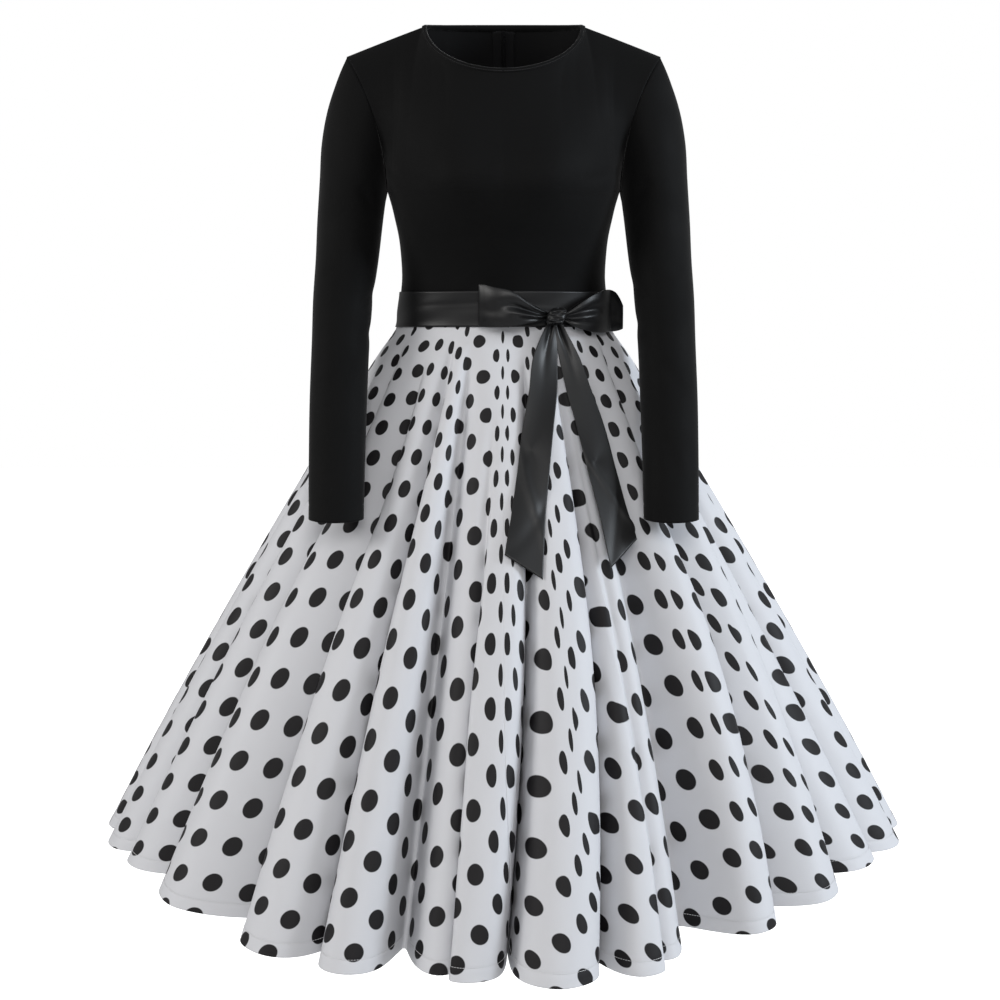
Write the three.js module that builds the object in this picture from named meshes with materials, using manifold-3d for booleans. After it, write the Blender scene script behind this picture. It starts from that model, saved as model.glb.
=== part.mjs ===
// A long-sleeved swing dress: black knit bodice and sleeves, a dotted full-circle skirt, a satin
// ribbon belt tied in a bow, and a zip down the centre back. Millimetres, +Z up. The dress faces -Y.
// The origin is where a wearer's shoulders hold it, level with the two shoulder tips.
import * as THREE from "three";
import { mergeVertices } from "three/addons/utils/BufferGeometryUtils.js";
import Module from "manifold-3d";

// ---- driving dimensions ----
const KNIT_WALL = 1.5;
const SKIRT_WALL = 1.5;
const RIBBON_WALL = 1.0;
const SEAM_GAP = 0.2; // each panel stops this far from its seam line
const WAIST_Z = -312;
const WAIST_LIFT = 7; // the waist sits higher at the centre front than at the sides
const UNDERARM = { x: 143, z: -167 };
const SHOULDER_TIP = { x: 192, z: 0 };
const NECK = { halfWidth: 94, sideY: 5, sideZ: 35, frontY: -72, frontDrop: 55, backY: 60, backRise: 4 };
const BINDING_WIDTH = 6;
const BINDING_PROUD = 0.5;
const ARMHOLE = { frontY: 41, backY: 37, lean: 2.1, fullness: 0.7, tipDrop: 3.5 };
const BUST = { x: 66, z: -152, spreadX: 46, spreadZ: 38, fullness: 13 };
const HEM = { z: -1016, rise: 46, riseFrom: 18, riseOver: 62, drop: 4 }; // it hangs higher at the sides
const CREST_SWELL = 15; // how far the crests between the folds push the cloth out at the hem
const BELT = { top: -290, bottom: -333, clearance: 0.4 };
const ZIP = { bottom: -500, teethHalf: 3, tapeHalf: 13.5, clearance: 0.4, sunk: 0.1, belowBinding: 0.06 };
const DEGREE = Math.PI / 180;

// Level sections of the bodice, from the underarm to the waist seam.
const BODICE_SECTIONS = [
  { z: -167, halfWidth: 143, front: 127, back: 106 },
  { z: -182, halfWidth: 138.5, front: 123, back: 103 },
  { z: -199, halfWidth: 134.5, front: 117, back: 99 },
  { z: -223, halfWidth: 129.5, front: 106, back: 93 },
  { z: -247, halfWidth: 127, front: 98, back: 89 },
  { z: -270, halfWidth: 126, front: 94, back: 87 },
  { z: -290, halfWidth: 127.5, front: 93, back: 87 },
  { z: -312, halfWidth: 130, front: 93, back: 88 },
];

// Level sections of the skirt, outside its folds.
const SKIRT_SECTIONS = [
  { z: -312, halfWidth: 130, front: 93, back: 88 },
  { z: -333, halfWidth: 133, front: 95, back: 91 },
  { z: -365, halfWidth: 154, front: 107, back: 105 },
  { z: -420, halfWidth: 188, front: 133, back: 134 },
  { z: -500, halfWidth: 238, front: 174, back: 178 },
  { z: -600, halfWidth: 297, front: 228, back: 234 },
  { z: -720, halfWidth: 365, front: 291, back: 299 },
  { z: -860, halfWidth: 441, front: 358, back: 368 },
  { z: -1016, halfWidth: 520, front: 427, back: 436 },
];

// Troughs between the skirt's hanging folds: where each lies round the body (0 is the centre front,
// 90 the left side of the wearer, +X), how deep it is at the hem, how wide its two slopes are in
// degrees, and how far down it starts.
const SKIRT_FOLDS = [
  { angle: -170, depth: 60, left: 6.5, right: 3.4, start: 0.50 },
  { angle: -156, depth: 66, left: 3.6, right: 6.5, start: 0.10 },
  { angle: -141, depth: 62, left: 5.5, right: 5.5, start: 0.04 },
  { angle: -127, depth: 56, left: 6.5, right: 3.4, start: 0.16 },
  { angle: -113, depth: 66, left: 3.6, right: 6.5, start: 0.06 },
  { angle: -98, depth: 56, left: 6.0, right: 3.6, start: 0.12 },
  { angle: -84, depth: 38, left: 4.4, right: 4.0, start: 0.16 },
  { angle: -71, depth: 40, left: 4.6, right: 3.6, start: 0.10 },
  { angle: -59, depth: 66, left: 6.4, right: 3.4, start: 0.06 },
  { angle: -43, depth: 50, left: 8.5, right: 3.8, start: 0.10 },
  { angle: -30, depth: 70, left: 4.6, right: 3.6, start: 0.04 },
  { angle: -14, depth: 56, left: 3.8, right: 6.2, start: 0.06 },
  { angle: -6.4, depth: 24, left: 3.6, right: 3.2, start: 0.28 },
  { angle: 2.4, depth: 70, left: 3.4, right: 3.4, start: 0.16 },
  { angle: 13.4, depth: 68, left: 3.4, right: 3.6, start: 0.12 },
  { angle: 28, depth: 46, left: 4.6, right: 6.0, start: 0.08 },
  { angle: 40.5, depth: 64, left: 3.4, right: 6.0, start: 0.06 },
  { angle: 55.5, depth: 62, left: 3.4, right: 6.0, start: 0.08 },
  { angle: 70, depth: 46, left: 3.6, right: 5.2, start: 0.12 },
  { angle: 84, depth: 40, left: 3.6, right: 4.6, start: 0.14 },
  { angle: 98, depth: 58, left: 3.6, right: 6.0, start: 0.06 },
  { angle: 114, depth: 64, left: 6.5, right: 3.6, start: 0.12 },
  { angle: 129, depth: 58, left: 3.6, right: 6.2, start: 0.04 },
  { angle: 144, depth: 64, left: 6.0, right: 5.0, start: 0.10 },
  { angle: 157, depth: 58, left: 3.6, right: 6.4, start: 0.16 },
  { angle: 171, depth: 52, left: 6.4, right: 3.4, start: 0.50 },
];

// Where a hanging sleeve presses the skirt in.
const SLEEVE_DENT = { angle: 46, width: 16, z: -540, height: 85, depth: 8 };

// Level sections of the sleeve on the +X side, from the upper arm to the cuff.
const SLEEVE_SECTIONS = [
  { z: -199, inner: 148, outer: 229, middleY: -12, depth: 53 },
  { z: -247, inner: 153, outer: 230, middleY: -32, depth: 50 },
  { z: -295, inner: 159, outer: 232, middleY: -54, depth: 46 },
  { z: -342, inner: 162, outer: 232, middleY: -78, depth: 43 },
  { z: -412, inner: 164, outer: 233, middleY: -108, depth: 39 },
  { z: -482, inner: 165, outer: 232, middleY: -142, depth: 35 },
  { z: -546, inner: 165, outer: 230, middleY: -177, depth: 31 },
];
const UPPER_ARM = { inner: 145.5, innerZ: -179, outer: 226, outerZ: -150, middleY: -5, depth: 54 };
const CAP_STEPS = [0.2, 0.45, 0.72];
const CAP_FULLNESS = { outward: 9, sideways: 6 };

// ---- grid sizes ----
const ARMHOLE_STEPS = 7;
const NECK_COLUMNS = 6; // columns from the centre line to the neck point
const HALF_COLUMNS = 10; // columns from the centre line to the side seam
const SKIRT_COLUMNS = 27; // columns in a quarter of the skirt
const BELT_COLUMNS = 40;
const BINDING_COLUMNS = 4 * NECK_COLUMNS;

// ---- materials ----
function fabric(color, roughness, metalness = 0) {
  return new THREE.MeshStandardMaterial({ color, roughness, metalness });
}
const KNIT = () => fabric(0x161616, 0.75);
const DOTTED = () => fabric(0xe4e4e6, 0.7);
const SATIN = () => fabric(0x101012, 0.3);
const TAPE = () => fabric(0x1a1a1a, 0.8);
const METAL = () => fabric(0x8a8a8e, 0.3, 1);

const dress = new THREE.Group();

// ---- small helpers ----
const vec = (x, y, z) => new THREE.Vector3(x, y, z);
const bell = (value) => Math.exp(-value * value);
const clamp01 = (value) => Math.min(1, Math.max(0, value));
const smooth = (value) => clamp01(value) ** 2 * (3 - 2 * clamp01(value));

function steps(first, last, count) {
  return Array.from({ length: count + 1 }, (_, i) => first + ((last - first) * i) / count);
}

// Monotone cubic between the rows of a section table, so that a silhouette has no corners.
function section(table, z, field) {
  const last = table.length - 1;
  let k = 0;
  while (k < last - 1 && z < table[k + 1].z) k += 1;
  const slope = (i) => (table[i + 1][field] - table[i][field]) / (table[i + 1].z - table[i].z);
  const tangent = (i) => {
    if (i === 0) return slope(0);
    if (i === last) return slope(last - 1);
    return slope(i - 1) * slope(i) <= 0 ? 0 : (slope(i - 1) + slope(i)) / 2;
  };
  const span = table[k + 1].z - table[k].z;
  const t = (z - table[k].z) / span;
  const a = table[k][field];
  const b = table[k + 1][field];
  const ta = tangent(k) * span;
  const tb = tangent(k + 1) * span;
  return a + t * ta + t * t * (3 * (b - a) - 2 * ta - tb) + t * t * t * (2 * (a - b) + ta + tb);
}

// Unit normal of a surface given as a function of two parameters, turned to point away from the body.
function normalOf(surface, a, b, stepA, stepB) {
  const alongA = surface(a + stepA, b).sub(surface(a - stepA, b));
  const alongB = surface(a, b + stepB).sub(surface(a, b - stepB));
  return alongA.cross(alongB).normalize();
}

// A closed cloth body from a grid of outer points and unit normals: the outer face, the inner face
// one wall further in, and a rim along each open edge.
function clothBody(points, normals, wall, around = false) {
  const rows = points.length;
  const cols = points[0].length;
  const corners = [];
  for (let r = 0; r < rows; r += 1) {
    for (let c = 0; c < cols; c += 1) corners.push(points[r][c]);
  }
  for (let r = 0; r < rows; r += 1) {
    for (let c = 0; c < cols; c += 1) {
      corners.push(points[r][c].clone().addScaledVector(normals[r][c], -wall));
    }
  }
  const outer = (r, c) => r * cols + (c % cols);
  const inner = (r, c) => rows * cols + outer(r, c);
  const faces = [];
  const quad = (a, b, c, d) => faces.push(a, b, c, a, c, d);
  const lastCol = around ? cols : cols - 1;
  for (let r = 0; r < rows - 1; r += 1) {
    for (let c = 0; c < lastCol; c += 1) {
      quad(outer(r, c), outer(r, c + 1), outer(r + 1, c + 1), outer(r + 1, c));
      quad(inner(r, c), inner(r + 1, c), inner(r + 1, c + 1), inner(r, c + 1));
    }
  }
  for (let c = 0; c < lastCol; c += 1) {
    quad(outer(0, c), inner(0, c), inner(0, c + 1), outer(0, c + 1));
    quad(outer(rows - 1, c), outer(rows - 1, c + 1), inner(rows - 1, c + 1), inner(rows - 1, c));
  }
  for (let r = 0; !around && r < rows - 1; r += 1) {
    quad(outer(r, 0), outer(r + 1, 0), inner(r + 1, 0), inner(r, 0));
    quad(outer(r, cols - 1), inner(r, cols - 1), inner(r + 1, cols - 1), outer(r + 1, cols - 1));
  }
  return closedGeometry(corners, faces);
}

// Geometry whose faces point out, whichever way round the grid was walked.
function closedGeometry(corners, faces) {
  let volume = 0;
  for (let i = 0; i < faces.length; i += 3) {
    const [a, b, c] = [corners[faces[i]], corners[faces[i + 1]], corners[faces[i + 2]]];
    volume += a.dot(b.clone().cross(c));
  }
  const index = volume > 0 ? faces : faces.slice().reverse();
  const geometry = new THREE.BufferGeometry();
  geometry.setAttribute("position", new THREE.Float32BufferAttribute(corners.flatMap((p) => p.toArray()), 3));
  geometry.setIndex(index);
  return mergeVertices(geometry, 1e-4);
}

function addPiece(name, geometry, material) {
  geometry.computeVertexNormals();
  const mesh = new THREE.Mesh(geometry, material);
  mesh.name = name;
  dress.add(mesh);
}

// ---- the bodice ----
// A point on a level section: angle 0 is the centre front, +-90 degrees the side seams.
function ovalPoint(table, angle, z) {
  const ahead = Math.cos(angle);
  const depth = section(table, z, ahead >= 0 ? "front" : "back");
  return vec(section(table, z, "halfWidth") * Math.sin(angle), -depth * ahead, z);
}

function waistLift(angle, z) {
  return WAIST_LIFT * Math.max(0, Math.cos(angle)) * smooth((-230 - z) / 60);
}

function lowerBodice(angle, z) {
  const point = ovalPoint(BODICE_SECTIONS, angle, z);
  const cup = bell((Math.abs(point.x) - BUST.x) / BUST.spreadX) * bell((z - BUST.z) / BUST.spreadZ);
  point.y -= BUST.fullness * cup * Math.max(0, Math.cos(angle));
  point.z += waistLift(angle, z);
  return point;
}

// The neckline, `beyond` millimetres outside its edge, measured along the cloth. turn 0 is the
// centre front, 90 degrees the neck point and 180 the centre back.
function neckPoint(turn, beyond = 0) {
  const ahead = Math.cos(turn);
  const side = Math.sin(turn);
  const inFront = ahead >= 0;
  const y = NECK.sideY + (inFront ? NECK.frontY - NECK.sideY : NECK.sideY - NECK.backY) * ahead;
  const z = NECK.sideZ - (inFront ? NECK.frontDrop : NECK.backRise) * ahead;
  const fall = 0.34 * Math.abs(side) + 0.92 * Math.abs(ahead);
  const away = vec(0.94 * side, (inFront ? -0.45 : -0.25) * ahead, -fall).normalize();
  return vec(NECK.halfWidth * side, y, z).addScaledVector(away, beyond);
}

// The normal of the cloth along the neckline, on the +X half.
function neckNormal(turn) {
  const step = 0.02;
  const middle = Math.min(Math.max(turn, step), Math.PI - step);
  const along = neckPoint(middle + step).sub(neckPoint(middle - step));
  if (turn < step || turn > Math.PI - step) along.set(along.x, 0, 0);
  const normal = neckPoint(turn, 1).sub(neckPoint(turn)).cross(along).normalize();
  return normal.z < 0 ? normal.negate() : normal;
}

// The armhole seam: rise 0 is the underarm and 1 the shoulder tip; face is -1 for the front, +1 the back.
function armholePoint(rise, face) {
  const reach = face < 0 ? ARMHOLE.frontY : ARMHOLE.backY;
  return vec(
    UNDERARM.x + (SHOULDER_TIP.x - UNDERARM.x) * rise ** ARMHOLE.lean,
    face * reach * Math.max(0, Math.sin(Math.PI * rise)) ** ARMHOLE.fullness,
    UNDERARM.z + (SHOULDER_TIP.z - UNDERARM.z) * rise - ARMHOLE.tipDrop * rise ** 10,
  );
}
const ARMHOLE_MIDDLE = vec((UNDERARM.x + SHOULDER_TIP.x) / 2, 0, (UNDERARM.z + SHOULDER_TIP.z) / 2);
const ARMHOLE_AXIS = vec(-UNDERARM.z, 0, UNDERARM.x - SHOULDER_TIP.x).normalize(); // out of the armhole
const armholeRise = (step) => (1 - Math.cos((Math.PI * step) / ARMHOLE_STEPS)) / 2;

// The top edge of a half panel: the neckline under the binding, then the shoulder seam.
function panelTop(across, face) {
  const neckShare = NECK_COLUMNS / HALF_COLUMNS;
  const turn = (Math.PI / 2) * Math.min(1, across / neckShare);
  const top = neckPoint(face < 0 ? turn : Math.PI - turn, BINDING_WIDTH + SEAM_GAP);
  const tip = vec(SHOULDER_TIP.x, 0, SHOULDER_TIP.z);
  return across > neckShare ? top.lerp(tip, (across - neckShare) / (1 - neckShare)) : top;
}

// The same edge with its corner at the neck point rounded off, for the cloth below it to follow.
function easedTop(across, face) {
  const reach = 0.36 * smooth(across / 0.45) * smooth((1 - across) / 0.45);
  const samples = [-0.9, -0.45, 0, 0.45, 0.9].map((share) => panelTop(across + share * reach, face));
  return samples.reduce((sum, point) => sum.add(point)).divideScalar(samples.length);
}

// The yoke above the underarm, between the underarm section and the neckline and shoulder seam.
// across runs from 0 at the centre to 1 at the armhole.
function yokePoint(across, rise, face) {
  const angle = face < 0 ? (across * Math.PI) / 2 : Math.PI - (across * Math.PI) / 2;
  const bottom = lowerBodice(angle, UNDERARM.z);
  const span = easedTop(across, face).sub(bottom);
  const corner = panelTop(across, face).sub(bottom).sub(span);
  const point = bottom.clone().addScaledVector(span, rise).addScaledVector(corner, rise ** 6);
  const straight = lowerBodice(Math.PI / 2, UNDERARM.z).lerp(vec(SHOULDER_TIP.x, 0, SHOULDER_TIP.z), rise);
  point.addScaledVector(armholePoint(rise, face).sub(straight), across ** 3);
  const chest = ((face < 0 ? 5 : 10) + 10 * smooth(across / 0.8) * (1 - across ** 4)) * (1 - across ** 6);
  point.y += face * chest * Math.sin(Math.PI * rise);
  const carry = rise * (1 - rise) ** 3 * (1 - across ** 4);
  return point.addScaledVector(slopeEase(angle, bottom, span, face * chest), carry);
}

// What the yoke's slope lacks at the underarm level to carry on the slope of the bodice below it.
function slopeEase(angle, bottom, span, chest) {
  const step = 4;
  const slope = bottom.clone().sub(lowerBodice(angle, UNDERARM.z - step)).multiplyScalar(span.z / step);
  return slope.sub(span).sub(vec(0, chest * Math.PI, 0)).setZ(0);
}

// A bodice point for one half of one face, from the waist seam to the top.
function bodiceGrid(columns, face) {
  const levels = BODICE_SECTIONS.map((row) => row.z).slice(1).reverse();
  const points = levels.map((z) => columns.map((c) => bodiceBelow(c, z, face)));
  const normals = levels.map((z) => columns.map((c) => bodiceBelowNormal(c, z, face)));
  for (let k = 0; k <= ARMHOLE_STEPS; k += 1) {
    points.push(columns.map((c) => yokeSide(c, armholeRise(k), face)));
    normals.push(columns.map((c) => yokeNormal(c, armholeRise(k), face)));
  }
  return { points, normals };
}

const panelAngle = (column, face) => {
  const turn = (column / HALF_COLUMNS) * (Math.PI / 2);
  return face < 0 ? turn : Math.PI - turn;
};
const bodiceBelow = (column, z, face) => lowerBodice(panelAngle(column, face), z);

function bodiceBelowNormal(column, z, face) {
  const normal = normalOf(lowerBodice, panelAngle(column, face), Math.max(z, WAIST_Z + 1), 0.01, 1);
  if (z === WAIST_Z) normal.z = 0;
  return normal.normalize();
}

function yokeSide(column, rise, face) {
  const point = yokePoint(Math.abs(column) / HALF_COLUMNS, rise, face);
  point.x *= column < 0 ? -1 : 1;
  return point;
}

// The yoke's normal; along the armhole it looks away from the armhole's middle, and along the top
// it is the neck binding's, which at the neck point stands square to the shoulder slope, so that
// the pieces meet edge to edge.
function yokeNormal(column, rise, face) {
  const side = column < 0 ? -1 : 1;
  const across = Math.min(Math.abs(column) / HALF_COLUMNS, 0.995);
  const surface = (a, r) => yokePoint(Math.abs(a), r, face);
  const insideRise = Math.min(Math.max(rise, 0.01), 0.99);
  const normal = normalOf(surface, Math.max(across, 0.005), insideRise, 0.005, 0.01);
  if (normal.y * face < 0) normal.negate();
  const turn = (Math.PI / 2) * Math.min(1, Math.abs(column) / NECK_COLUMNS);
  if (Math.abs(column) === HALF_COLUMNS) {
    normal.copy(armholePoint(rise, face).sub(ARMHOLE_MIDDLE)).normalize();
  } else if (rise === 1) {
    normal.copy(neckNormal(face < 0 ? turn : Math.PI - turn));
  }
  normal.x *= side;
  return normal;
}

// Pull a bodice panel back from its side seam, shoulder seam and armhole.
function trimBodice({ points }, columns, face, centreGap) {
  const belowCount = points.length - ARMHOLE_STEPS - 1;
  points.forEach((row, r) => {
    row.forEach((point, i) => {
      const side = Math.sign(columns[i]);
      const atSide = Math.abs(columns[i]) === HALF_COLUMNS;
      const atShoulder = r === points.length - 1 && Math.abs(columns[i]) >= NECK_COLUMNS;
      if ((atSide && r <= belowCount) || atShoulder) point.y += face * SEAM_GAP;
      if (atSide && r >= belowCount) {
        point.addScaledVector(vec(-side * ARMHOLE_AXIS.x, 0, -ARMHOLE_AXIS.z), SEAM_GAP);
      }
      if (columns[i] === 0 && centreGap) {
        point.x += centreGap * Math.sign(columns[0] + columns[columns.length - 1]);
      }
    });
  });
}

function addBodice() {
  const front = steps(-HALF_COLUMNS, HALF_COLUMNS, 2 * HALF_COLUMNS);
  const left = steps(0, HALF_COLUMNS, HALF_COLUMNS);
  const right = steps(-HALF_COLUMNS, 0, HALF_COLUMNS);
  const panels = [
    ["bodice_front", front, -1, 0],
    ["bodice_back_left", left, 1, ZIP.teethHalf + ZIP.clearance],
    ["bodice_back_right", right, 1, ZIP.teethHalf + ZIP.clearance],
  ];
  for (const [name, columns, face, centreGap] of panels) {
    const grid = bodiceGrid(columns, face);
    trimBodice(grid, columns, face, centreGap);
    addPiece(name, clothBody(grid.points, grid.normals, KNIT_WALL), KNIT());
  }
}

// ---- the neck binding ----
function addBinding() {
  const turns = steps(0, 2 * Math.PI, BINDING_COLUMNS).slice(0, -1);
  const mirrored = (turn, point) => point.setX(Math.sin(turn) < -1e-9 ? -point.x : point.x);
  const folded = (turn) => Math.acos(Math.cos(turn));
  const normals = turns.map((turn) => mirrored(turn, neckNormal(folded(turn))));
  const edge = (beyond) => turns.map((turn, i) => (
    mirrored(turn, neckPoint(folded(turn), beyond)).addScaledVector(normals[i], BINDING_PROUD)
  ));
  const grid = [edge(BINDING_WIDTH - SEAM_GAP), edge(BINDING_WIDTH / 2), edge(0)];
  addPiece("neck_binding", clothBody(grid, grid.map(() => normals), KNIT_WALL + BINDING_PROUD, true), KNIT());
}

// ---- the sleeves ----
// Points round a sleeve start at the underarm and pass the front, the outside and the back.
function armholeRing() {
  const front = steps(0, ARMHOLE_STEPS, ARMHOLE_STEPS).map((k) => armholePoint(armholeRise(k), -1));
  const back = steps(ARMHOLE_STEPS - 1, 1, ARMHOLE_STEPS - 2).map((k) => armholePoint(armholeRise(k), 1));
  return [...front, ...back];
}

function ovalRing(inner, outer, middleY, depth, zAt) {
  return steps(0, 2 * ARMHOLE_STEPS, 2 * ARMHOLE_STEPS).slice(0, -1).map((k) => {
    const turn = (Math.PI * k) / ARMHOLE_STEPS;
    const x = (inner + outer) / 2 - ((outer - inner) / 2) * Math.cos(turn);
    return vec(x, middleY - depth * Math.sin(turn), zAt(x));
  });
}

function upperArmRing() {
  const fall = (UPPER_ARM.outerZ - UPPER_ARM.innerZ) / (UPPER_ARM.outer - UPPER_ARM.inner);
  const zAt = (x) => UPPER_ARM.innerZ + (x - UPPER_ARM.inner) * fall;
  return ovalRing(UPPER_ARM.inner, UPPER_ARM.outer, UPPER_ARM.middleY, UPPER_ARM.depth, zAt);
}

function capRing(seam, upperArm, share) {
  const swell = Math.sin(Math.PI * share);
  return seam.map((point, k) => {
    const turn = (Math.PI * k) / ARMHOLE_STEPS;
    const outward = CAP_FULLNESS.outward * (1 - Math.cos(turn)) * 0.5;
    return point.clone().lerp(upperArm[k], share)
      .add(vec(outward * swell, -CAP_FULLNESS.sideways * Math.sin(turn) * swell, 0));
  });
}

function sleeveGrid() {
  const seam = armholeRing();
  const upperArm = upperArmRing();
  const start = seam.map((point) => point.clone().addScaledVector(ARMHOLE_AXIS, SEAM_GAP));
  const cap = CAP_STEPS.map((share) => capRing(seam, upperArm, share));
  const lower = SLEEVE_SECTIONS.map((s) => ovalRing(s.inner, s.outer, s.middleY, s.depth, () => s.z));
  const points = [start, ...cap, upperArm, ...lower];
  const normals = ringNormals(points);
  normals[0] = seam.map((point) => point.clone().sub(ARMHOLE_MIDDLE).normalize());
  return { points, normals };
}

// Normals of a stack of rings, pointing away from each ring's middle.
function ringNormals(points) {
  return points.map((ring, r) => {
    const middle = ring.reduce((sum, p) => sum.add(p), vec(0, 0, 0)).divideScalar(ring.length);
    return ring.map((point, c) => {
      const before = ring[(c + ring.length - 1) % ring.length];
      const after = ring[(c + 1) % ring.length];
      const above = points[Math.max(0, r - 1)][c];
      const below = points[Math.min(points.length - 1, r + 1)][c];
      const normal = after.clone().sub(before).cross(below.clone().sub(above)).normalize();
      return normal.dot(point.clone().sub(middle)) < 0 ? normal.negate() : normal;
    });
  });
}

function addSleeve(name, side) {
  const { points, normals } = sleeveGrid();
  const mirror = (grid) => grid.map((ring) => ring.map((p) => vec(side * p.x, p.y, p.z)));
  addPiece(name, clothBody(mirror(points), mirror(normals), KNIT_WALL, true), KNIT());
}

// ---- the skirt ----
const turnBetween = (a, b) => Math.atan2(Math.sin(a - b), Math.cos(a - b));

// The skirt's outer form without folds. angle 0 is the centre front and +-180 degrees the centre back.
function skirtForm(angle, z) {
  const point = ovalPoint(SKIRT_SECTIONS, angle, z);
  point.z += WAIST_LIFT * Math.max(0, Math.cos(angle)) * smooth((z + 500) / 160);
  return point;
}

// The section of a fold: a soft V.
const valley = (across) => Math.exp(-(Math.sqrt(across * across + 0.03) ** 1.35));

// How deep the folds are at an angle; down runs from 0 at the belt to 1 at the hem.
function foldDepth(angle, down, z) {
  let depth = -CREST_SWELL * down;
  for (const fold of SKIRT_FOLDS) {
    const grown = clamp01((down - fold.start * 0.5) / (1 - fold.start * 0.5));
    const away = turnBetween(angle, fold.angle * DEGREE);
    const width = (away < 0 ? fold.left : fold.right) * DEGREE;
    depth += fold.depth * grown ** 0.85 * valley(away / width);
  }
  const dent = bell((Math.abs(turnBetween(angle, 0)) / DEGREE - SLEEVE_DENT.angle) / SLEEVE_DENT.width);
  return depth + SLEEVE_DENT.depth * dent * bell((z - SLEEVE_DENT.z) / SLEEVE_DENT.height);
}

function hemRise(angle) {
  const fromMiddle = Math.acos(Math.abs(Math.cos(angle))) / DEGREE;
  return HEM.rise * smooth((fromMiddle - HEM.riseFrom) / HEM.riseOver) - HEM.drop;
}

// A point of the folded skirt; level is the height that it would have with a level hem.
function skirtPoint(angle, level) {
  const down = clamp01((BELT.bottom - level) / (BELT.bottom - HEM.z));
  const point = skirtForm(angle, level + hemRise(angle) * down ** 1.6);
  const share = 1 - foldDepth(angle, down, point.z) / Math.hypot(point.x, point.y);
  return vec(point.x * share, point.y * share, point.z);
}

function skirtNormal(angle, z) {
  const normal = normalOf(skirtPoint, angle, Math.max(z, SKIRT_SECTIONS[8].z + 1), 0.01, 1);
  if (z === WAIST_Z) normal.setZ(0).normalize();
  return normal;
}

// How far a back panel's edge stands off the centre line: clear of the zip, then closed below it.
function backEdgeGap(z) {
  return z >= ZIP.bottom ? ZIP.teethHalf + ZIP.clearance : SEAM_GAP;
}

function addSkirtPanel(name, firstAngle, lastAngle) {
  const angles = steps(firstAngle * DEGREE, lastAngle * DEGREE, SKIRT_COLUMNS);
  const levels = SKIRT_SECTIONS.map((row) => row.z);
  const points = levels.map((z) => angles.map((angle) => skirtPoint(angle, z)));
  const normals = levels.map((z) => angles.map((angle) => skirtNormal(angle, z)));
  points.forEach((row, r) => {
    [[0, 1], [row.length - 1, row.length - 2]].forEach(([edge, next]) => {
      const atBack = Math.abs(Math.abs(angles[edge]) - Math.PI) < 1e-6;
      const gap = atBack ? backEdgeGap(levels[r]) : SEAM_GAP;
      row[edge].addScaledVector(row[next].clone().sub(row[edge]).normalize(), gap);
    });
  });
  points[0].forEach((point) => point.setZ(point.z - 2 * SEAM_GAP));
  addPiece(name, clothBody(points, normals, SKIRT_WALL), DOTTED());
}

// ---- the ribbon belt and its bow ----
function addBelt() {
  const angles = steps(-Math.PI, Math.PI, BELT_COLUMNS).slice(0, -1);
  const form = (angle, z) => (z > WAIST_Z ? lowerBodice(angle, z) : skirtForm(angle, z));
  const outward = angles.map((angle) => vec(Math.sin(angle), -1.4 * Math.cos(angle), 0).normalize());
  const levels = [BELT.top, WAIST_Z, BELT.bottom];
  const normals = levels.map(() => outward);
  const out = BELT.clearance + RIBBON_WALL + 0.6;
  const points = levels.map((z) => angles.map((angle, c) => form(angle, z).addScaledVector(outward[c], out)));
  addPiece("belt_ribbon", clothBody(points, normals, RIBBON_WALL, true), SATIN());
}

const BOW = { x: 60, z: -309, y: -103, knotHalfWidth: 12, knotHalfHeight: 15, knotDepth: 20 };

// A loop of ribbon: out along its front layer, round the tip and back along the layer behind.
const LOOP_PATH = [
  { along: 0.06, ahead: 8, halfHeight: 9 },
  { along: 0.3, ahead: 19, halfHeight: 15 },
  { along: 0.62, ahead: 22, halfHeight: 20 },
  { along: 0.9, ahead: 16, halfHeight: 22 },
  { along: 1.0, ahead: 9, halfHeight: 22 },
  { along: 0.9, ahead: 3.5, halfHeight: 22 },
  { along: 0.62, ahead: 2.5, halfHeight: 20 },
  { along: 0.3, ahead: 2.5, halfHeight: 15 },
  { along: 0.06, ahead: 3.5, halfHeight: 9 },
];

function addLoop(name, reach, rise) {
  const side = Math.sign(reach);
  const start = BOW.x + side * (BOW.knotHalfWidth + 0.6);
  const centres = LOOP_PATH.map((step) => {
    const x = start + (reach - side * BOW.knotHalfWidth) * step.along;
    return vec(x, beltFront(x) - step.ahead, BOW.z + rise * step.along);
  });
  const points = centres.map((centre, i) => {
    const high = LOOP_PATH[i].halfHeight;
    return [1, 0.33, -0.33, -1].map((share) => centre.clone().add(vec(0, 0, high * share)));
  });
  const normals = centres.map((centre, i) => {
    const ahead = centres[Math.min(i + 1, centres.length - 1)];
    const behind = centres[Math.max(i - 1, 0)];
    const along = ahead.clone().sub(behind);
    const outward = vec(side * along.y, -side * along.x, 0).normalize();
    return [outward, outward, outward, outward];
  });
  addPiece(name, clothBody(points, normals, RIBBON_WALL), SATIN());
}

// The y of the belt's outer face at x, on the front of the waist.
function beltFront(x) {
  const share = Math.min(0.98, Math.abs(x) / 133);
  return -97.5 * Math.sqrt(1 - share * share) - 1.6;
}

function addKnot() {
  const knot = new THREE.SphereGeometry(1, 14, 10);
  const place = knot.getAttribute("position");
  const squared = (value) => Math.sign(value) * Math.abs(value) ** 0.7;
  for (let i = 0; i < place.count; i += 1) {
    place.setXYZ(
      i,
      BOW.x + BOW.knotHalfWidth * squared(place.getX(i)),
      BOW.y - BOW.knotDepth / 2 + (BOW.knotDepth / 2) * squared(place.getY(i)) + 8,
      BOW.z + BOW.knotHalfHeight * squared(place.getZ(i)),
    );
  }
  knot.deleteAttribute("normal");
  knot.deleteAttribute("uv");
  addPiece("bow_knot", mergeVertices(knot, 1e-4), SATIN());
}

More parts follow.
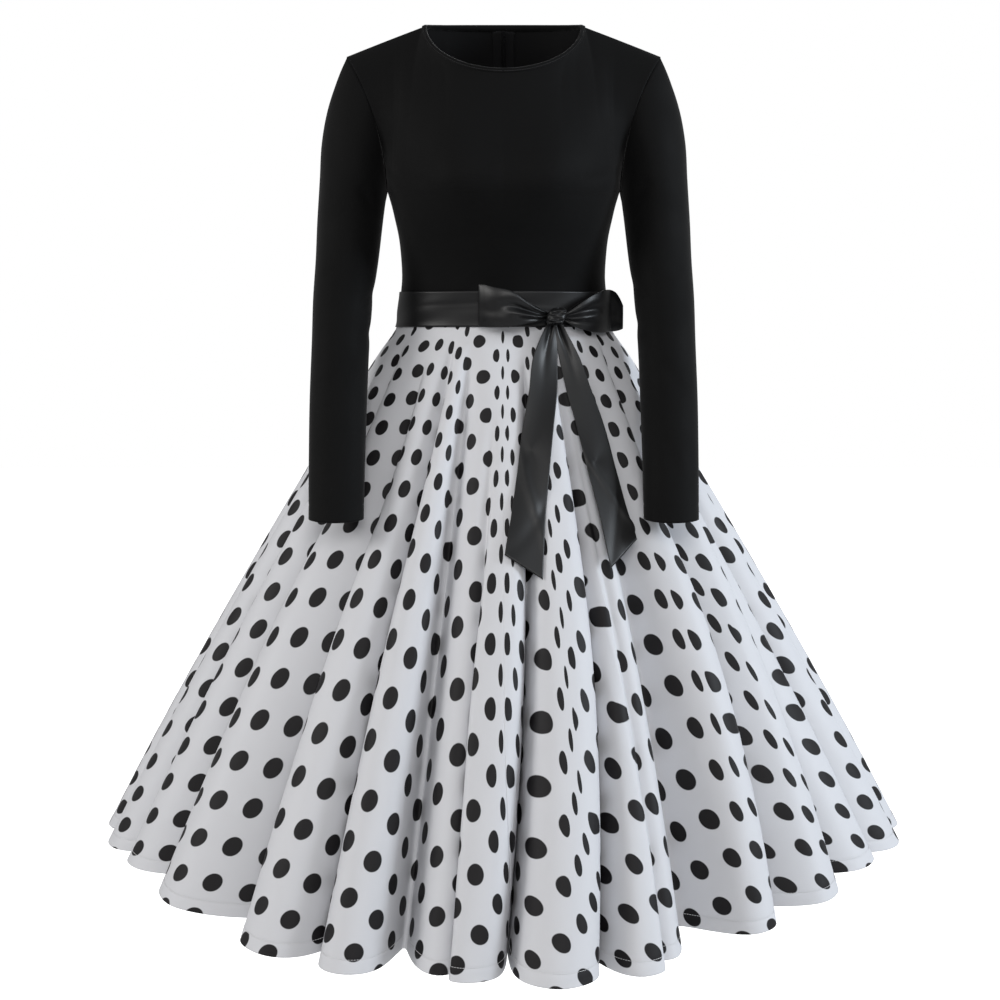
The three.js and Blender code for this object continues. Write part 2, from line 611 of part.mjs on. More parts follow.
// The two hanging tails: the middle of the ribbon, how wide it shows, and how far it stands off.
const TAIL_RIGHT = [
  { x: 54, z: -328, halfWidth: 9, off: 9 },
  { x: 49, z: -365, halfWidth: 15, off: 8 },
  { x: 42, z: -420, halfWidth: 18.5, off: 7 },
  { x: 34, z: -480, halfWidth: 19, off: 7 },
  { x: 27, z: -540, halfWidth: 20, off: 7 },
  { x: 23, z: -594, halfWidth: 22, off: 8 },
];
const TAIL_LEFT = [
  { x: 71, z: -328, halfWidth: 6.5, off: 9 },
  { x: 80, z: -365, halfWidth: 12, off: 8 },
  { x: 97, z: -420, halfWidth: 16, off: 7 },
  { x: 113, z: -480, halfWidth: 17, off: 7 },
  { x: 128, z: -530, halfWidth: 17, off: 7 },
  { x: 141, z: -584, halfWidth: 16, off: 8 },
];

function addTail(name, route, endSlant) {
  const points = route.map((step, r) => [-1, 0, 1].map((share) => {
    const x = step.x + share * step.halfWidth;
    const z = step.z + (r === route.length - 1 ? endSlant * share : 0);
    const angle = Math.asin(Math.min(0.95, x / section(SKIRT_SECTIONS, z, "halfWidth")));
    return vec(x, skirtForm(angle, z).y - step.off, z);
  }));
  const normals = points.map((row) => row.map(() => vec(0, -1, 0)));
  addPiece(name, clothBody(points, normals, RIBBON_WALL), SATIN());
}

// ---- the zip ----
// A point `aside` from the centre line, on the straight between a back panel's first two columns.
function besideCentre(centre, next, aside) {
  return centre.clone().lerp(next, Math.abs(aside / next.x)).setX(aside);
}

// Where the zip's strips run: on the level rows of the back panels, from just below the binding.
function backRows(aside) {
  const side = aside < 0 ? -1 : 1;
  const bodiceTurn = Math.PI - (side * Math.PI) / 2 / HALF_COLUMNS;
  const skirtTurn = Math.PI - (side * Math.PI) / 2 / SKIRT_COLUMNS;
  const yoke = steps(ARMHOLE_STEPS, 1, ARMHOLE_STEPS - 1).map((k) => {
    const rise = armholeRise(k);
    return besideCentre(yokePoint(0, rise, 1), yokePoint(1 / HALF_COLUMNS, rise, 1), aside);
  });
  yoke[0].lerp(yoke[1], ZIP.belowBinding);
  const bodice = BODICE_SECTIONS.map(({ z }) => (
    besideCentre(lowerBodice(Math.PI, z), lowerBodice(bodiceTurn, z), aside)
  ));
  const skirt = SKIRT_SECTIONS.slice(1).filter(({ z }) => z >= ZIP.bottom).map(({ z }) => (
    besideCentre(skirtPoint(Math.PI, z), skirtPoint(skirtTurn, z), aside)
  ));
  return [...yoke, ...bodice, ...skirt];
}

function addZipStrip(name, nearSide, farSide, outward, wall, material) {
  const near = backRows(nearSide);
  const far = backRows(farSide);
  const points = near.map((point, r) => [point, far[r]].map((p) => p.clone().add(vec(0, outward, 0))));
  const normals = points.map((row) => row.map(() => vec(0, 1, 0)));
  addPiece(name, clothBody(points, normals, wall), material);
}

function addZip() {
  const behind = -KNIT_WALL - ZIP.clearance;
  addZipStrip("zip_teeth", -ZIP.teethHalf, ZIP.teethHalf, -ZIP.sunk, KNIT_WALL - ZIP.sunk, TAPE());
  addZipStrip("zip_tape_left", ZIP.clearance, ZIP.tapeHalf, behind, 1, TAPE());
  addZipStrip("zip_tape_right", -ZIP.tapeHalf, -ZIP.clearance, behind, 1, TAPE());
}

// The slider lies on the teeth near the top of the zip. In its own frame y runs out from the back
// and z up along it. The tab's crossbar runs through the bridge and turns in it.
const SLIDER = { z: 24, width: 8, height: 11, thick: 1.6, clear: 0.5 };
const BRIDGE = { width: 2.4, legInside: 2.1, legOutside: 3.2, gapHeight: 2, thick: 1.2 };
const TAB = {
  width: 5.6, length: 25, thick: 1.2, crossbar: 0.6, windowHalf: 1.65, windowEnd: 6, hingeZ: -0.9,
};

const wasm = await Module();
wasm.setup();

function solidOf(geometry) {
  geometry.deleteAttribute("normal");
  geometry.deleteAttribute("uv");
  const merged = mergeVertices(geometry, 1e-4);
  const triVerts = new Uint32Array(merged.getIndex().array);
  const vertProperties = new Float32Array(merged.getAttribute("position").array);
  return new wasm.Manifold(new wasm.Mesh({ numProp: 3, vertProperties, triVerts }));
}

function geometryOf(solid) {
  const mesh = solid.getMesh();
  const geometry = new THREE.BufferGeometry();
  geometry.setAttribute("position", new THREE.BufferAttribute(mesh.vertProperties, 3));
  geometry.setIndex(new THREE.BufferAttribute(mesh.triVerts, 1));
  return geometry;
}

function blockOf(width, depth, height, y, z) {
  return new THREE.BoxGeometry(width, depth, height).translate(0, y, z);
}

function sliderGeometry() {
  const top = SLIDER.clear + SLIDER.thick;
  const legHigh = BRIDGE.gapHeight + BRIDGE.thick;
  const legWide = BRIDGE.legOutside - BRIDGE.legInside;
  const legMiddle = (BRIDGE.legOutside + BRIDGE.legInside) / 2;
  const legRoot = 0.4; // how far the legs are let into the plate
  const plate = blockOf(SLIDER.width, SLIDER.thick, SLIDER.height, SLIDER.clear + SLIDER.thick / 2, 0);
  const legs = [-legMiddle, legMiddle].map((z) => (
    blockOf(BRIDGE.width, legHigh + legRoot, legWide, top + (legHigh - legRoot) / 2, z)
  ));
  const beamHigh = top + legHigh - BRIDGE.thick / 2;
  const beam = blockOf(BRIDGE.width, BRIDGE.thick, 2 * BRIDGE.legOutside, beamHigh, 0);
  return geometryOf([plate, ...legs, beam].map(solidOf).reduce((whole, piece) => whole.add(piece)));
}

function tabGeometry() {
  const half = TAB.width / 2;
  const outline = new THREE.Shape();
  outline.moveTo(-half, TAB.crossbar);
  outline.lineTo(-half, half - TAB.length);
  outline.absarc(0, half - TAB.length, half, Math.PI, 2 * Math.PI, false);
  outline.lineTo(half, TAB.crossbar);
  outline.closePath();
  const opening = new THREE.Path();
  opening.moveTo(-TAB.windowHalf, -TAB.crossbar);
  opening.lineTo(TAB.windowHalf, -TAB.crossbar);
  opening.lineTo(TAB.windowHalf, -TAB.windowEnd);
  opening.lineTo(-TAB.windowHalf, -TAB.windowEnd);
  opening.closePath();
  outline.holes.push(opening);
  const settings = { depth: TAB.thick, bevelEnabled: false, curveSegments: 8 };
  const plate = new THREE.ExtrudeGeometry(outline, settings);
  return plate.translate(0, 0, -TAB.thick / 2).rotateX(Math.PI / 2);
}

function addSlider() {
  const back = backRows(0);
  const lean = Math.atan2(back[2].y - back[0].y, back[0].z - back[2].z);
  const share = (back[0].z - SLIDER.z) / (back[0].z - back[2].z);
  const slider = new THREE.Group();
  slider.position.copy(back[0].clone().lerp(back[2], share));
  slider.rotation.x = lean;
  const place = (name, geometry, y, z) => {
    geometry.computeVertexNormals();
    const mesh = new THREE.Mesh(geometry, METAL());
    mesh.name = name;
    mesh.position.set(0, y, z);
    slider.add(mesh);
  };
  place("zip_slider", sliderGeometry(), 0, 0);
  place("zip_pull_tab", tabGeometry(), SLIDER.clear + SLIDER.thick + BRIDGE.gapHeight / 2, TAB.hingeZ);
  dress.add(slider);
}

addBodice();
addBinding();
addSleeve("sleeve_left", 1);
addSleeve("sleeve_right", -1);
addSkirtPanel("skirt_front_left", 0, 90);
addSkirtPanel("skirt_back_left", 90, 180);
addSkirtPanel("skirt_back_right", -180, -90);
addSkirtPanel("skirt_front_right", -90, 0);
addBelt();
addLoop("bow_loop_left", 86, 2);
addLoop("bow_loop_right", -90, 9);
addKnot();
addTail("bow_tail_right", TAIL_RIGHT, -14);
addTail("bow_tail_left", TAIL_LEFT, 14);
addZip();
addSlider();

export default dress;
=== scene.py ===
# %% [markdown]
# # A long-sleeved swing dress, in cells
# The dress hangs in its worn form with nobody in it. It has a black knit bodice with set-in sleeves,
# a full circle skirt printed with dots, a satin ribbon tied in a bow at the waist, and a zip down the
# centre back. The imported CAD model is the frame: it gives the bodies, the nodes and the sizes, and
# every piece made below lies on the form of the node that it stands for.

# %% Load the frame
import math
import bpy
import numpy as np
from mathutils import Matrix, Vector


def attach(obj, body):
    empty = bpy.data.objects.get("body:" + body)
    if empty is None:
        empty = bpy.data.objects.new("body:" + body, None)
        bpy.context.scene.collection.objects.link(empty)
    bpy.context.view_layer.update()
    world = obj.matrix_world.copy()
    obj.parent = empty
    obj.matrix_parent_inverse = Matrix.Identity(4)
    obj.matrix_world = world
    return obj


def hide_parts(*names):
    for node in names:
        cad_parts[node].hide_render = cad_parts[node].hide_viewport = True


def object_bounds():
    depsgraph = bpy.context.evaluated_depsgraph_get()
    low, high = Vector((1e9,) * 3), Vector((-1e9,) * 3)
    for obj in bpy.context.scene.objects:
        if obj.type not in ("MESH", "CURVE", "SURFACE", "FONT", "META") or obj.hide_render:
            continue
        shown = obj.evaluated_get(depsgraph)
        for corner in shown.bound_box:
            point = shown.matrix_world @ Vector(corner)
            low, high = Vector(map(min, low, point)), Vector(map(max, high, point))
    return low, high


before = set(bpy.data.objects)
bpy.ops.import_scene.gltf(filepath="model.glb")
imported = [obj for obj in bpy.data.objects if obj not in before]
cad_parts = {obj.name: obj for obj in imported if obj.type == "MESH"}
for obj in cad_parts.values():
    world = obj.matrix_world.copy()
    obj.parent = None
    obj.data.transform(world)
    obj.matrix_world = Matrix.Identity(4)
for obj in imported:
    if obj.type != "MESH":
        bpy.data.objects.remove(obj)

cad_low, cad_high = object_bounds()
MM = 0.001
BODY = "dress"
print("CAD box", [round(v, 3) for v in (*cad_low, *cad_high)])

# %% [markdown]
# ## Camera
# A garment is pictured from a little above its middle with a long lens, so that the hem shows a slight
# curve and the inside of the back neck shows through the neckline. The camera is placed by a distance
# and a rise from the point that it looks at, which keeps those choices readable.

# %% Camera
camera_rise = math.radians(9)
camera_distance = 2.6
camera_lens = 74.05  # millimetres, on a 36 mm sensor
aim = Vector((-0.0044, 0.0, (cad_low.z + cad_high.z) / 2 - 0.061))

camera = bpy.data.objects.new("camera", bpy.data.cameras.new("camera"))
bpy.context.scene.collection.objects.link(camera)
camera.data.lens = camera_lens
camera.data.sensor_width = 36.0
camera.location = aim + camera_distance * Vector((0, -math.cos(camera_rise), math.sin(camera_rise)))
camera.rotation_euler = (math.pi / 2 - camera_rise, 0, 0)
bpy.context.scene.camera = camera
bpy.context.scene.view_settings.view_transform = "Standard"
print("camera at", tuple(round(v, 3) for v in camera.location))

# %% [markdown]
# ## Light and floor
# Garments are shot in a white tent: soft light from all round, stronger light from both sides that models
# the folds, and a floor that melts into the background. The world gives the tent and four round area
# lights give the front, the sides and the back. The pale floor lies well below the hem, because the dress
# is held up by its wearer.

# %% World, lights and floor
world = bpy.data.worlds.new("tent")
world.use_nodes = True
tent = world.node_tree.nodes["Background"]
tent.inputs["Color"].default_value = (1.0, 1.0, 1.0, 1.0)
tent.inputs["Strength"].default_value = 0.38
seen = world.node_tree.nodes.new("ShaderNodeBackground")
seen.inputs["Color"].default_value = (1.0, 1.0, 1.0, 1.0)
seen.inputs["Strength"].default_value = 1.0
ray = world.node_tree.nodes.new("ShaderNodeLightPath")
choose = world.node_tree.nodes.new("ShaderNodeMixShader")
world.node_tree.links.new(ray.outputs["Is Camera Ray"], choose.inputs["Fac"])
world.node_tree.links.new(tent.outputs["Background"], choose.inputs[1])
world.node_tree.links.new(seen.outputs["Background"], choose.inputs[2])
world.node_tree.links.new(choose.outputs["Shader"], world.node_tree.nodes["World Output"].inputs["Surface"])
bpy.context.scene.world = world
print("tent strength", tent.inputs["Strength"].default_value)


def add_light(name, place, size, power, tint):
    lamp = bpy.data.lights.new(name, "AREA")
    lamp.shape = "DISK"
    lamp.size = size
    lamp.energy = power
    lamp.color = tint
    holder = bpy.data.objects.new(name, lamp)
    holder.location = place
    holder.rotation_euler = (aim - Vector(place)).to_track_quat("-Z", "Y").to_euler()
    bpy.context.scene.collection.objects.link(holder)


add_light("key", (0.1, -3.3, 1.0), 1.4, 40, (1.0, 0.99, 0.98))
add_light("left", (-3.0, -1.0, 0.8), 1.2, 46, (1.0, 0.99, 0.97))
add_light("right", (3.0, -0.7, 0.7), 1.0, 74, (0.84, 0.92, 1.0))
add_light("back", (0.5, 2.8, 1.6), 1.6, 56, (1.0, 1.0, 1.0))

floor_mesh = bpy.data.meshes.new("floor")
floor_half = 6.0
floor_z = cad_low.z - 0.35
floor_mesh.from_pydata([(x, y, floor_z) for x, y in ((-floor_half, -floor_half), (floor_half, -floor_half),
                                                    (floor_half, floor_half), (-floor_half, floor_half))],
                       [], [(0, 1, 2, 3)])
floor = bpy.data.objects.new("floor", floor_mesh)
bpy.context.scene.collection.objects.link(floor)
floor_paint = bpy.data.materials.new("pale floor")
floor_paint.use_nodes = True
floor_shader = floor_paint.node_tree.nodes["Principled BSDF"]
floor_shader.inputs["Base Color"].default_value = (0.5, 0.5, 0.5, 1)
floor_shader.inputs["Roughness"].default_value = 0.9
floor_shader.inputs["Emission Color"].default_value = (1, 1, 1, 1)
floor_ray = floor_paint.node_tree.nodes.new("ShaderNodeLightPath")
floor_glow = floor_paint.node_tree.nodes.new("ShaderNodeMath")
floor_glow.operation = "MULTIPLY_ADD"
floor_glow.inputs[1].default_value = 0.95
floor_glow.inputs[2].default_value = 0.05
floor_paint.node_tree.links.new(floor_ray.outputs["Is Camera Ray"], floor_glow.inputs[0])
floor_paint.node_tree.links.new(floor_glow.outputs[0], floor_shader.inputs["Emission Strength"])
floor_mesh.materials.append(floor_paint)

# %% [markdown]
# ## Shader groups
# Two effects serve several cloths. "Fine weave" is the thread-scale bump and the slight unevenness of
# colour of any cloth. "Dot lattice" is the print: it reads the flat pattern's coordinates from the UV
# map, where every whole number in both directions is the middle of a dot, so the dots follow the cloth
# through its folds the way a printed length does.

# %% Shader groups
def new_group(name, inputs, outputs):
    group = bpy.data.node_groups.new(name, "ShaderNodeTree")
    for label, kind, value in inputs:
        socket = group.interface.new_socket(label, in_out="INPUT", socket_type=kind)
        if value is not None:
            socket.default_value = value
    for label, kind in outputs:
        group.interface.new_socket(label, in_out="OUTPUT", socket_type=kind)
    return group, group.nodes.new("NodeGroupInput"), group.nodes.new("NodeGroupOutput")


def math_node(tree, operation, *values):
    node = tree.nodes.new("ShaderNodeMath")
    node.operation = operation
    for i, value in enumerate(values):
        if isinstance(value, (int, float)):
            node.inputs[i].default_value = value
        else:
            tree.links.new(value, node.inputs[i])
    return node.outputs[0]


def make_weave_group():
    group, start, end = new_group(
        "Fine weave",
        [("Vector", "NodeSocketVector", None), ("Threads per metre", "NodeSocketFloat", 1200.0),
         ("Mottle scale", "NodeSocketFloat", 18.0), ("Mottle", "NodeSocketFloat", 0.06),
         ("Color", "NodeSocketColor", (0.5, 0.5, 0.5, 1.0))],
        [("Color", "NodeSocketColor"), ("Height", "NodeSocketFloat"), ("Roughness shift", "NodeSocketFloat")])
    links = group.links
    fine = group.nodes.new("ShaderNodeTexNoise")
    fine.inputs["Detail"].default_value = 2.0
    links.new(start.outputs["Vector"], fine.inputs["Vector"])
    links.new(start.outputs["Threads per metre"], fine.inputs["Scale"])
    broad = group.nodes.new("ShaderNodeTexNoise")
    broad.inputs["Detail"].default_value = 3.0
    links.new(start.outputs["Vector"], broad.inputs["Vector"])
    links.new(start.outputs["Mottle scale"], broad.inputs["Scale"])
    centred = math_node(group, "SUBTRACT", broad.outputs["Fac"], 0.5)
    spread = math_node(group, "MULTIPLY", centred, start.outputs["Mottle"])
    value = math_node(group, "ADD", spread, 1.0)
    shade = group.nodes.new("ShaderNodeVectorMath")
    shade.operation = "SCALE"
    links.new(start.outputs["Color"], shade.inputs[0])
    links.new(value, shade.inputs["Scale"])
    links.new(shade.outputs["Vector"], end.inputs["Color"])
    links.new(fine.outputs["Fac"], end.inputs["Height"])
    links.new(spread, end.inputs["Roughness shift"])
    return group


def make_dot_group():
    group, start, end = new_group(
        "Dot lattice",
        [("UV", "NodeSocketVector", None), ("Radius", "NodeSocketFloat", 0.25),
         ("Edge", "NodeSocketFloat", 0.02), ("Wobble", "NodeSocketFloat", 0.015)],
        [("Mask", "NodeSocketFloat")])
    links = group.links
    wobble = group.nodes.new("ShaderNodeTexNoise")
    wobble.inputs["Scale"].default_value = 2.3
    links.new(start.outputs["UV"], wobble.inputs["Vector"])
    split = group.nodes.new("ShaderNodeSeparateXYZ")
    links.new(start.outputs["UV"], split.inputs[0])
    offsets = []
    for axis in ("X", "Y"):
        shifted = math_node(group, "ADD", split.outputs[axis], 0.5)
        fraction = math_node(group, "FRACT", shifted)
        offset = math_node(group, "SUBTRACT", fraction, 0.5)
        offsets.append(math_node(group, "MULTIPLY", offset, offset))
    distance = math_node(group, "SQRT", math_node(group, "ADD", *offsets))
    uneven = math_node(group, "MULTIPLY", math_node(group, "SUBTRACT", wobble.outputs["Fac"], 0.5),
                       start.outputs["Wobble"])
    distance = math_node(group, "ADD", distance, uneven)
    inside = math_node(group, "SUBTRACT", start.outputs["Radius"], distance)
    sharp = math_node(group, "DIVIDE", inside, start.outputs["Edge"])
    mask = group.nodes.new("ShaderNodeClamp")
    links.new(math_node(group, "ADD", sharp, 0.5), mask.inputs["Value"])
    links.new(mask.outputs["Result"], end.inputs["Mask"])
    return group


weave_group = make_weave_group()
dot_group = make_dot_group()
print("shader groups:", weave_group.name, "and", dot_group.name)

# %% [markdown]
# ## Cloth materials
# The knit is a smooth, nearly matte black jersey. The ribbon is satin, whose long floats reflect like
# brushed metal, so it gets a lower roughness and some anisotropy. The skirt is a smooth white cloth with a
# surface print, which is weaker on its wrong side where the ink only shows through.

# %% Cloth materials
def cloth_material(name, color, roughness, specular, threads, bump, mottle=0.08, sheen=0.0, anisotropy=0.0):
    """A cloth whose colour and bump come from the Fine weave group. Returns the material and its nodes."""
    material = bpy.data.materials.new(name)
    material.use_nodes = True
    tree = material.node_tree
    shader = tree.nodes["Principled BSDF"]
    shader.inputs["Roughness"].default_value = roughness
    shader.inputs["Specular IOR Level"].default_value = specular
    shader.inputs["Sheen Weight"].default_value = sheen
    shader.inputs["Sheen Roughness"].default_value = 0.4
    shader.inputs["Anisotropic"].default_value = anisotropy
    weave = tree.nodes.new("ShaderNodeGroup")
    weave.node_tree = weave_group
    place = tree.nodes.new("ShaderNodeTexCoord")
    tree.links.new(place.outputs["Object"], weave.inputs["Vector"])
    weave.inputs["Threads per metre"].default_value = threads
    weave.inputs["Mottle"].default_value = mottle
    weave.inputs["Color"].default_value = (*color, 1.0)
    relief = tree.nodes.new("ShaderNodeBump")
    relief.inputs["Strength"].default_value = bump
    relief.inputs["Distance"].default_value = 0.0004
    tree.links.new(weave.outputs["Height"], relief.inputs["Height"])
    tree.links.new(relief.outputs["Normal"], shader.inputs["Normal"])
    tree.links.new(weave.outputs["Color"], shader.inputs["Base Color"])
    uneven = math_node(tree, "ADD", weave.outputs["Roughness shift"], roughness)
    tree.links.new(uneven, shader.inputs["Roughness"])
    return material, tree, shader, weave


def printed_material(name, ground, ink, strength):
    """White cloth with the dot print laid over its ground colour by strength."""
    material, tree, shader, weave = cloth_material(name, ground, 0.62, 0.3, 900.0, 0.22, mottle=0.05)
    uv = tree.nodes.new("ShaderNodeUVMap")
    uv.uv_map = "flat pattern"
    size = tree.nodes.new("ShaderNodeAttribute")
    size.attribute_name = "dot_radius"
    dots = tree.nodes.new("ShaderNodeGroup")
    dots.node_tree = dot_group
    tree.links.new(uv.outputs["UV"], dots.inputs["UV"])
    tree.links.new(size.outputs["Fac"], dots.inputs["Radius"])
    mix = tree.nodes.new("ShaderNodeMix")
    mix.data_type = "RGBA"
    tree.links.new(math_node(tree, "MULTIPLY", dots.outputs["Mask"], strength), mix.inputs["Factor"])
    tree.links.new(weave.outputs["Color"], mix.inputs["A"])
    mix.inputs["B"].default_value = (*ink, 1.0)
    tree.links.new(mix.outputs["Result"], shader.inputs["Base Color"])
    return material


knit = cloth_material("black knit", (0.0027, 0.0027, 0.0028), 0.74, 0.09, 1500.0, 0.3,
                      mottle=0.2, sheen=0.06)[0]
knit_inside = cloth_material("black knit wrong side", (0.0055, 0.0055, 0.0058), 0.85, 0.08, 1100.0, 0.4)[0]
satin = cloth_material("satin ribbon", (0.0052, 0.0052, 0.0057), 0.42, 0.36, 700.0, 0.08, anisotropy=0.5)[0]
tape = cloth_material("zip tape", (0.005, 0.005, 0.0055), 0.8, 0.12, 1400.0, 0.6)[0]
coil = cloth_material("zip coil", (0.006, 0.006, 0.0065), 0.26, 0.6, 400.0, 0.1)[0]
dotted = printed_material("dotted cloth", (0.58, 0.584, 0.61), (0.0035, 0.0025, 0.0035), 1.0)
dotted_inside = printed_material("dotted cloth wrong side", (0.60, 0.605, 0.62), (0.012, 0.010, 0.012), 0.35)
white_thread = cloth_material("white thread", (0.62, 0.62, 0.63), 0.6, 0.3, 2500.0, 0.4)[0]
black_thread = cloth_material("black thread", (0.02, 0.02, 0.021), 0.5, 0.4, 2500.0, 0.4)[0]

plated = bpy.data.materials.new("plated zip metal")
plated.use_nodes = True
plated_shader = plated.node_tree.nodes["Principled BSDF"]
plated_shader.inputs["Base Color"].default_value = (0.62, 0.62, 0.63, 1)
plated_shader.inputs["Metallic"].default_value = 1.0
plated_scratch = plated.node_tree.nodes.new("ShaderNodeTexNoise")
plated_scratch.inputs["Scale"].default_value = 900.0
plated.node_tree.links.new(
    math_node(plated.node_tree, "MULTIPLY_ADD", plated_scratch.outputs["Fac"], 0.18, 0.14),
    plated_shader.inputs["Roughness"])
print("materials:", ", ".join(m.name for m in bpy.data.materials))

# %% [markdown]
# ## From a pattern to a mesh
# Every cloth piece is a grid of points worked out by a formula: across the piece and along it. The grid
# becomes one face of the cloth, and a Solidify modifier gives it the other face and real edges, which is
# how thin cloth is best made in Blender. The formulas are those of the CAD pieces with finer steps, and
# creases are added where they fall on the real dress.

# %% Grid, crease and profile helpers
def bell(value):
    return np.exp(-np.square(value))


def smooth(value):
    t = np.clip(value, 0.0, 1.0)
    return t * t * (3 - 2 * t)


def profile(table, field, z):
    """Monotone cubic through one column of a section table whose rows run down in z."""
    levels = np.array([row["z"] for row in table], float)
    values = np.array([row[field] for row in table], float)
    slopes = np.diff(values) / np.diff(levels)
    tangents = np.empty_like(values)
    tangents[0], tangents[-1] = slopes[0], slopes[-1]
    same = slopes[:-1] * slopes[1:] > 0
    tangents[1:-1] = np.where(same, (slopes[:-1] + slopes[1:]) / 2, 0.0)
    k = np.clip(np.searchsorted(-levels, -np.asarray(z, float), side="right") - 1, 0, len(levels) - 2)
    span = levels[k + 1] - levels[k]
    t = (z - levels[k]) / span
    a, b = values[k], values[k + 1]
    ta, tb = tangents[k] * span, tangents[k + 1] * span
    return a + t * ta + t * t * (3 * (b - a) - 2 * ta - tb) + t ** 3 * (2 * (a - b) + ta + tb)


def points_of(x, y, z):
    return np.stack(np.broadcast_arrays(np.asarray(x, float), y, z), axis=-1)


def grid_normals(points, around=False):
    """Unit normals of a grid of points, rows by columns, from its neighbours."""
    if around:
        across = np.roll(points, -1, axis=1) - np.roll(points, 1, axis=1)
    else:
        across = np.gradient(points, axis=1)
    along = np.gradient(points, axis=0)
    normals = np.cross(across, along)
    return normals / np.maximum(np.linalg.norm(normals, axis=-1, keepdims=True), 1e-12)


def outward(points, normals):
    """The normals, turned so that most of them point away from the middle of the grid's own ring."""
    middle = points.mean(axis=1, keepdims=True)
    return normals if np.sum(normals * (points - middle)) > 0 else -normals


def press_creases(points, normals, creases):
    """Moves points along their normals by soft troughs (depth above 0) or ridges (below 0).
    Each crease runs between two places and fades towards both ends."""
    moved = points.copy()
    for crease in creases:
        start, end = np.array(crease["start"], float), np.array(crease["end"], float)
        run = end - start
        share = np.clip(np.sum((points - start) * run, axis=-1) / np.dot(run, run), 0, 1)
        distance = np.linalg.norm(points - (start + share[..., None] * run), axis=-1)
        fade = np.sin(np.pi * np.clip(share, 0.0, 1.0)) ** 0.6
        sink = crease["depth"] * bell(distance / crease["width"]) * fade
        moved -= normals * sink[..., None]
    return moved


def make_mesh(name, points, materials, around=False, thickness=0.0012, uv=None, dots=None, offset=-1.0):
    """A cloth object in metres from a grid of points in millimetres."""
    rows, cols = points.shape[:2]
    index = np.arange(rows * cols).reshape(rows, cols)
    right = np.roll(index, -1, axis=1) if around else index[:, 1:]
    left = index if around else index[:, :-1]
    quads = np.stack([left[:-1], right[:-1], right[1:], left[1:]], axis=-1).reshape(-1, 4)
    middle_quad = quads[len(quads) // 2]
    corner = points.reshape(-1, 3)[middle_quad]
    facing = np.cross(corner[1] - corner[0], corner[2] - corner[0])
    normals = outward(points, grid_normals(points, around)).reshape(-1, 3)
    if np.dot(facing, normals[middle_quad[0]]) < 0:
        quads = quads[:, ::-1]
    mesh = bpy.data.meshes.new(name)
    mesh.from_pydata((points.reshape(-1, 3) * MM).tolist(), [], quads.tolist())
    if uv is not None:
        layer = mesh.uv_layers.new(name="flat pattern")
        loops = np.empty(len(mesh.loops), dtype=np.int64)
        mesh.loops.foreach_get("vertex_index", loops)
        layer.data.foreach_set("uv", uv.reshape(-1, 2)[loops].ravel())
    if dots is not None:
        size = mesh.attributes.new("dot_radius", "FLOAT", "POINT")
        size.data.foreach_set("value", dots.reshape(-1))
    for material in materials:
        mesh.materials.append(material)
    mesh.polygons.foreach_set("use_smooth", [True] * len(mesh.polygons))
    piece = bpy.data.objects.new(name, mesh)
    bpy.context.scene.collection.objects.link(piece)
    if thickness:
        solid = piece.modifiers.new("cloth thickness", "SOLIDIFY")
        solid.thickness = thickness
        solid.offset = offset
        solid.material_offset = len(materials) - 1
        solid.use_even_offset = False
    return piece


def finish_piece(piece, node, body=BODY):
    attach(piece, body)
    if node:
        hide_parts(node)
    return piece


# %% [markdown]
# ## The bodice
# The bodice is cut in a front and two backs, shaped by the bust, the waist and the shoulder slope. Below
# the underarm it is a stack of level sections. Above it, each panel is stretched between the underarm
# section, the armhole and the neckline with the shoulder seam, so the seams land exactly where the CAD
# panels have them.

# %% Bodice form
BODICE_SECTIONS = [
    {"z": -167, "half_width": 143, "front": 127, "back": 106},
    {"z": -182, "half_width": 138.5, "front": 123, "back": 103},
    {"z": -199, "half_width": 134.5, "front": 117, "back": 99},
    {"z": -223, "half_width": 129.5, "front": 106, "back": 93},
    {"z": -247, "half_width": 127, "front": 98, "back": 89},
    {"z": -270, "half_width": 126, "front": 94, "back": 87},
    {"z": -290, "half_width": 127.5, "front": 93, "back": 87},
    {"z": -312, "half_width": 130, "front": 93, "back": 88},
]
WAIST_Z = -312
WAIST_LIFT = 7
UNDERARM = (143, -167)
SHOULDER_TIP = (192, 0)
NECK = {
    "half_width": 94, "side_y": 5, "side_z": 35,
    "front_y": -72, "front_drop": 55, "back_y": 60, "back_rise": 4,
}
BINDING_WIDTH = 6
NECK_SHARE = 0.6  # the part of a panel's half top edge that is neckline; the rest is shoulder seam


def oval(table, angle, z):
    ahead = np.cos(angle)
    depth = np.where(ahead >= 0, profile(table, "front", z), profile(table, "back", z))
    return points_of(profile(table, "half_width", z) * np.sin(angle), -depth * ahead, z)


def lower_bodice(angle, z):
    point = oval(BODICE_SECTIONS, angle, z)
    ahead = np.maximum(0, np.cos(angle))
    cup = bell((np.abs(point[..., 0]) - 66) / 46) * bell((z + 152) / 38)
    point[..., 1] -= 13 * cup * ahead
    point[..., 2] += WAIST_LIFT * ahead * smooth((-230 - z) / 60)
    return point


def neck_point(turn, beyond=0.0):
    ahead, side = np.cos(turn), np.sin(turn)
    front = ahead >= 0
    y = np.where(front, NECK["side_y"] + (NECK["front_y"] - NECK["side_y"]) * ahead,
                 NECK["side_y"] - (NECK["back_y"] - NECK["side_y"]) * ahead)
    z = NECK["side_z"] - np.where(front, NECK["front_drop"], NECK["back_rise"]) * ahead
    lean = np.where(front, -0.45, -0.25) * ahead
    away = points_of(0.94 * side, lean, -0.34 * np.abs(side) - 0.92 * np.abs(ahead))
    away /= np.linalg.norm(away, axis=-1, keepdims=True)
    return points_of(NECK["half_width"] * side, y, z) + away * np.asarray(beyond)[..., None]


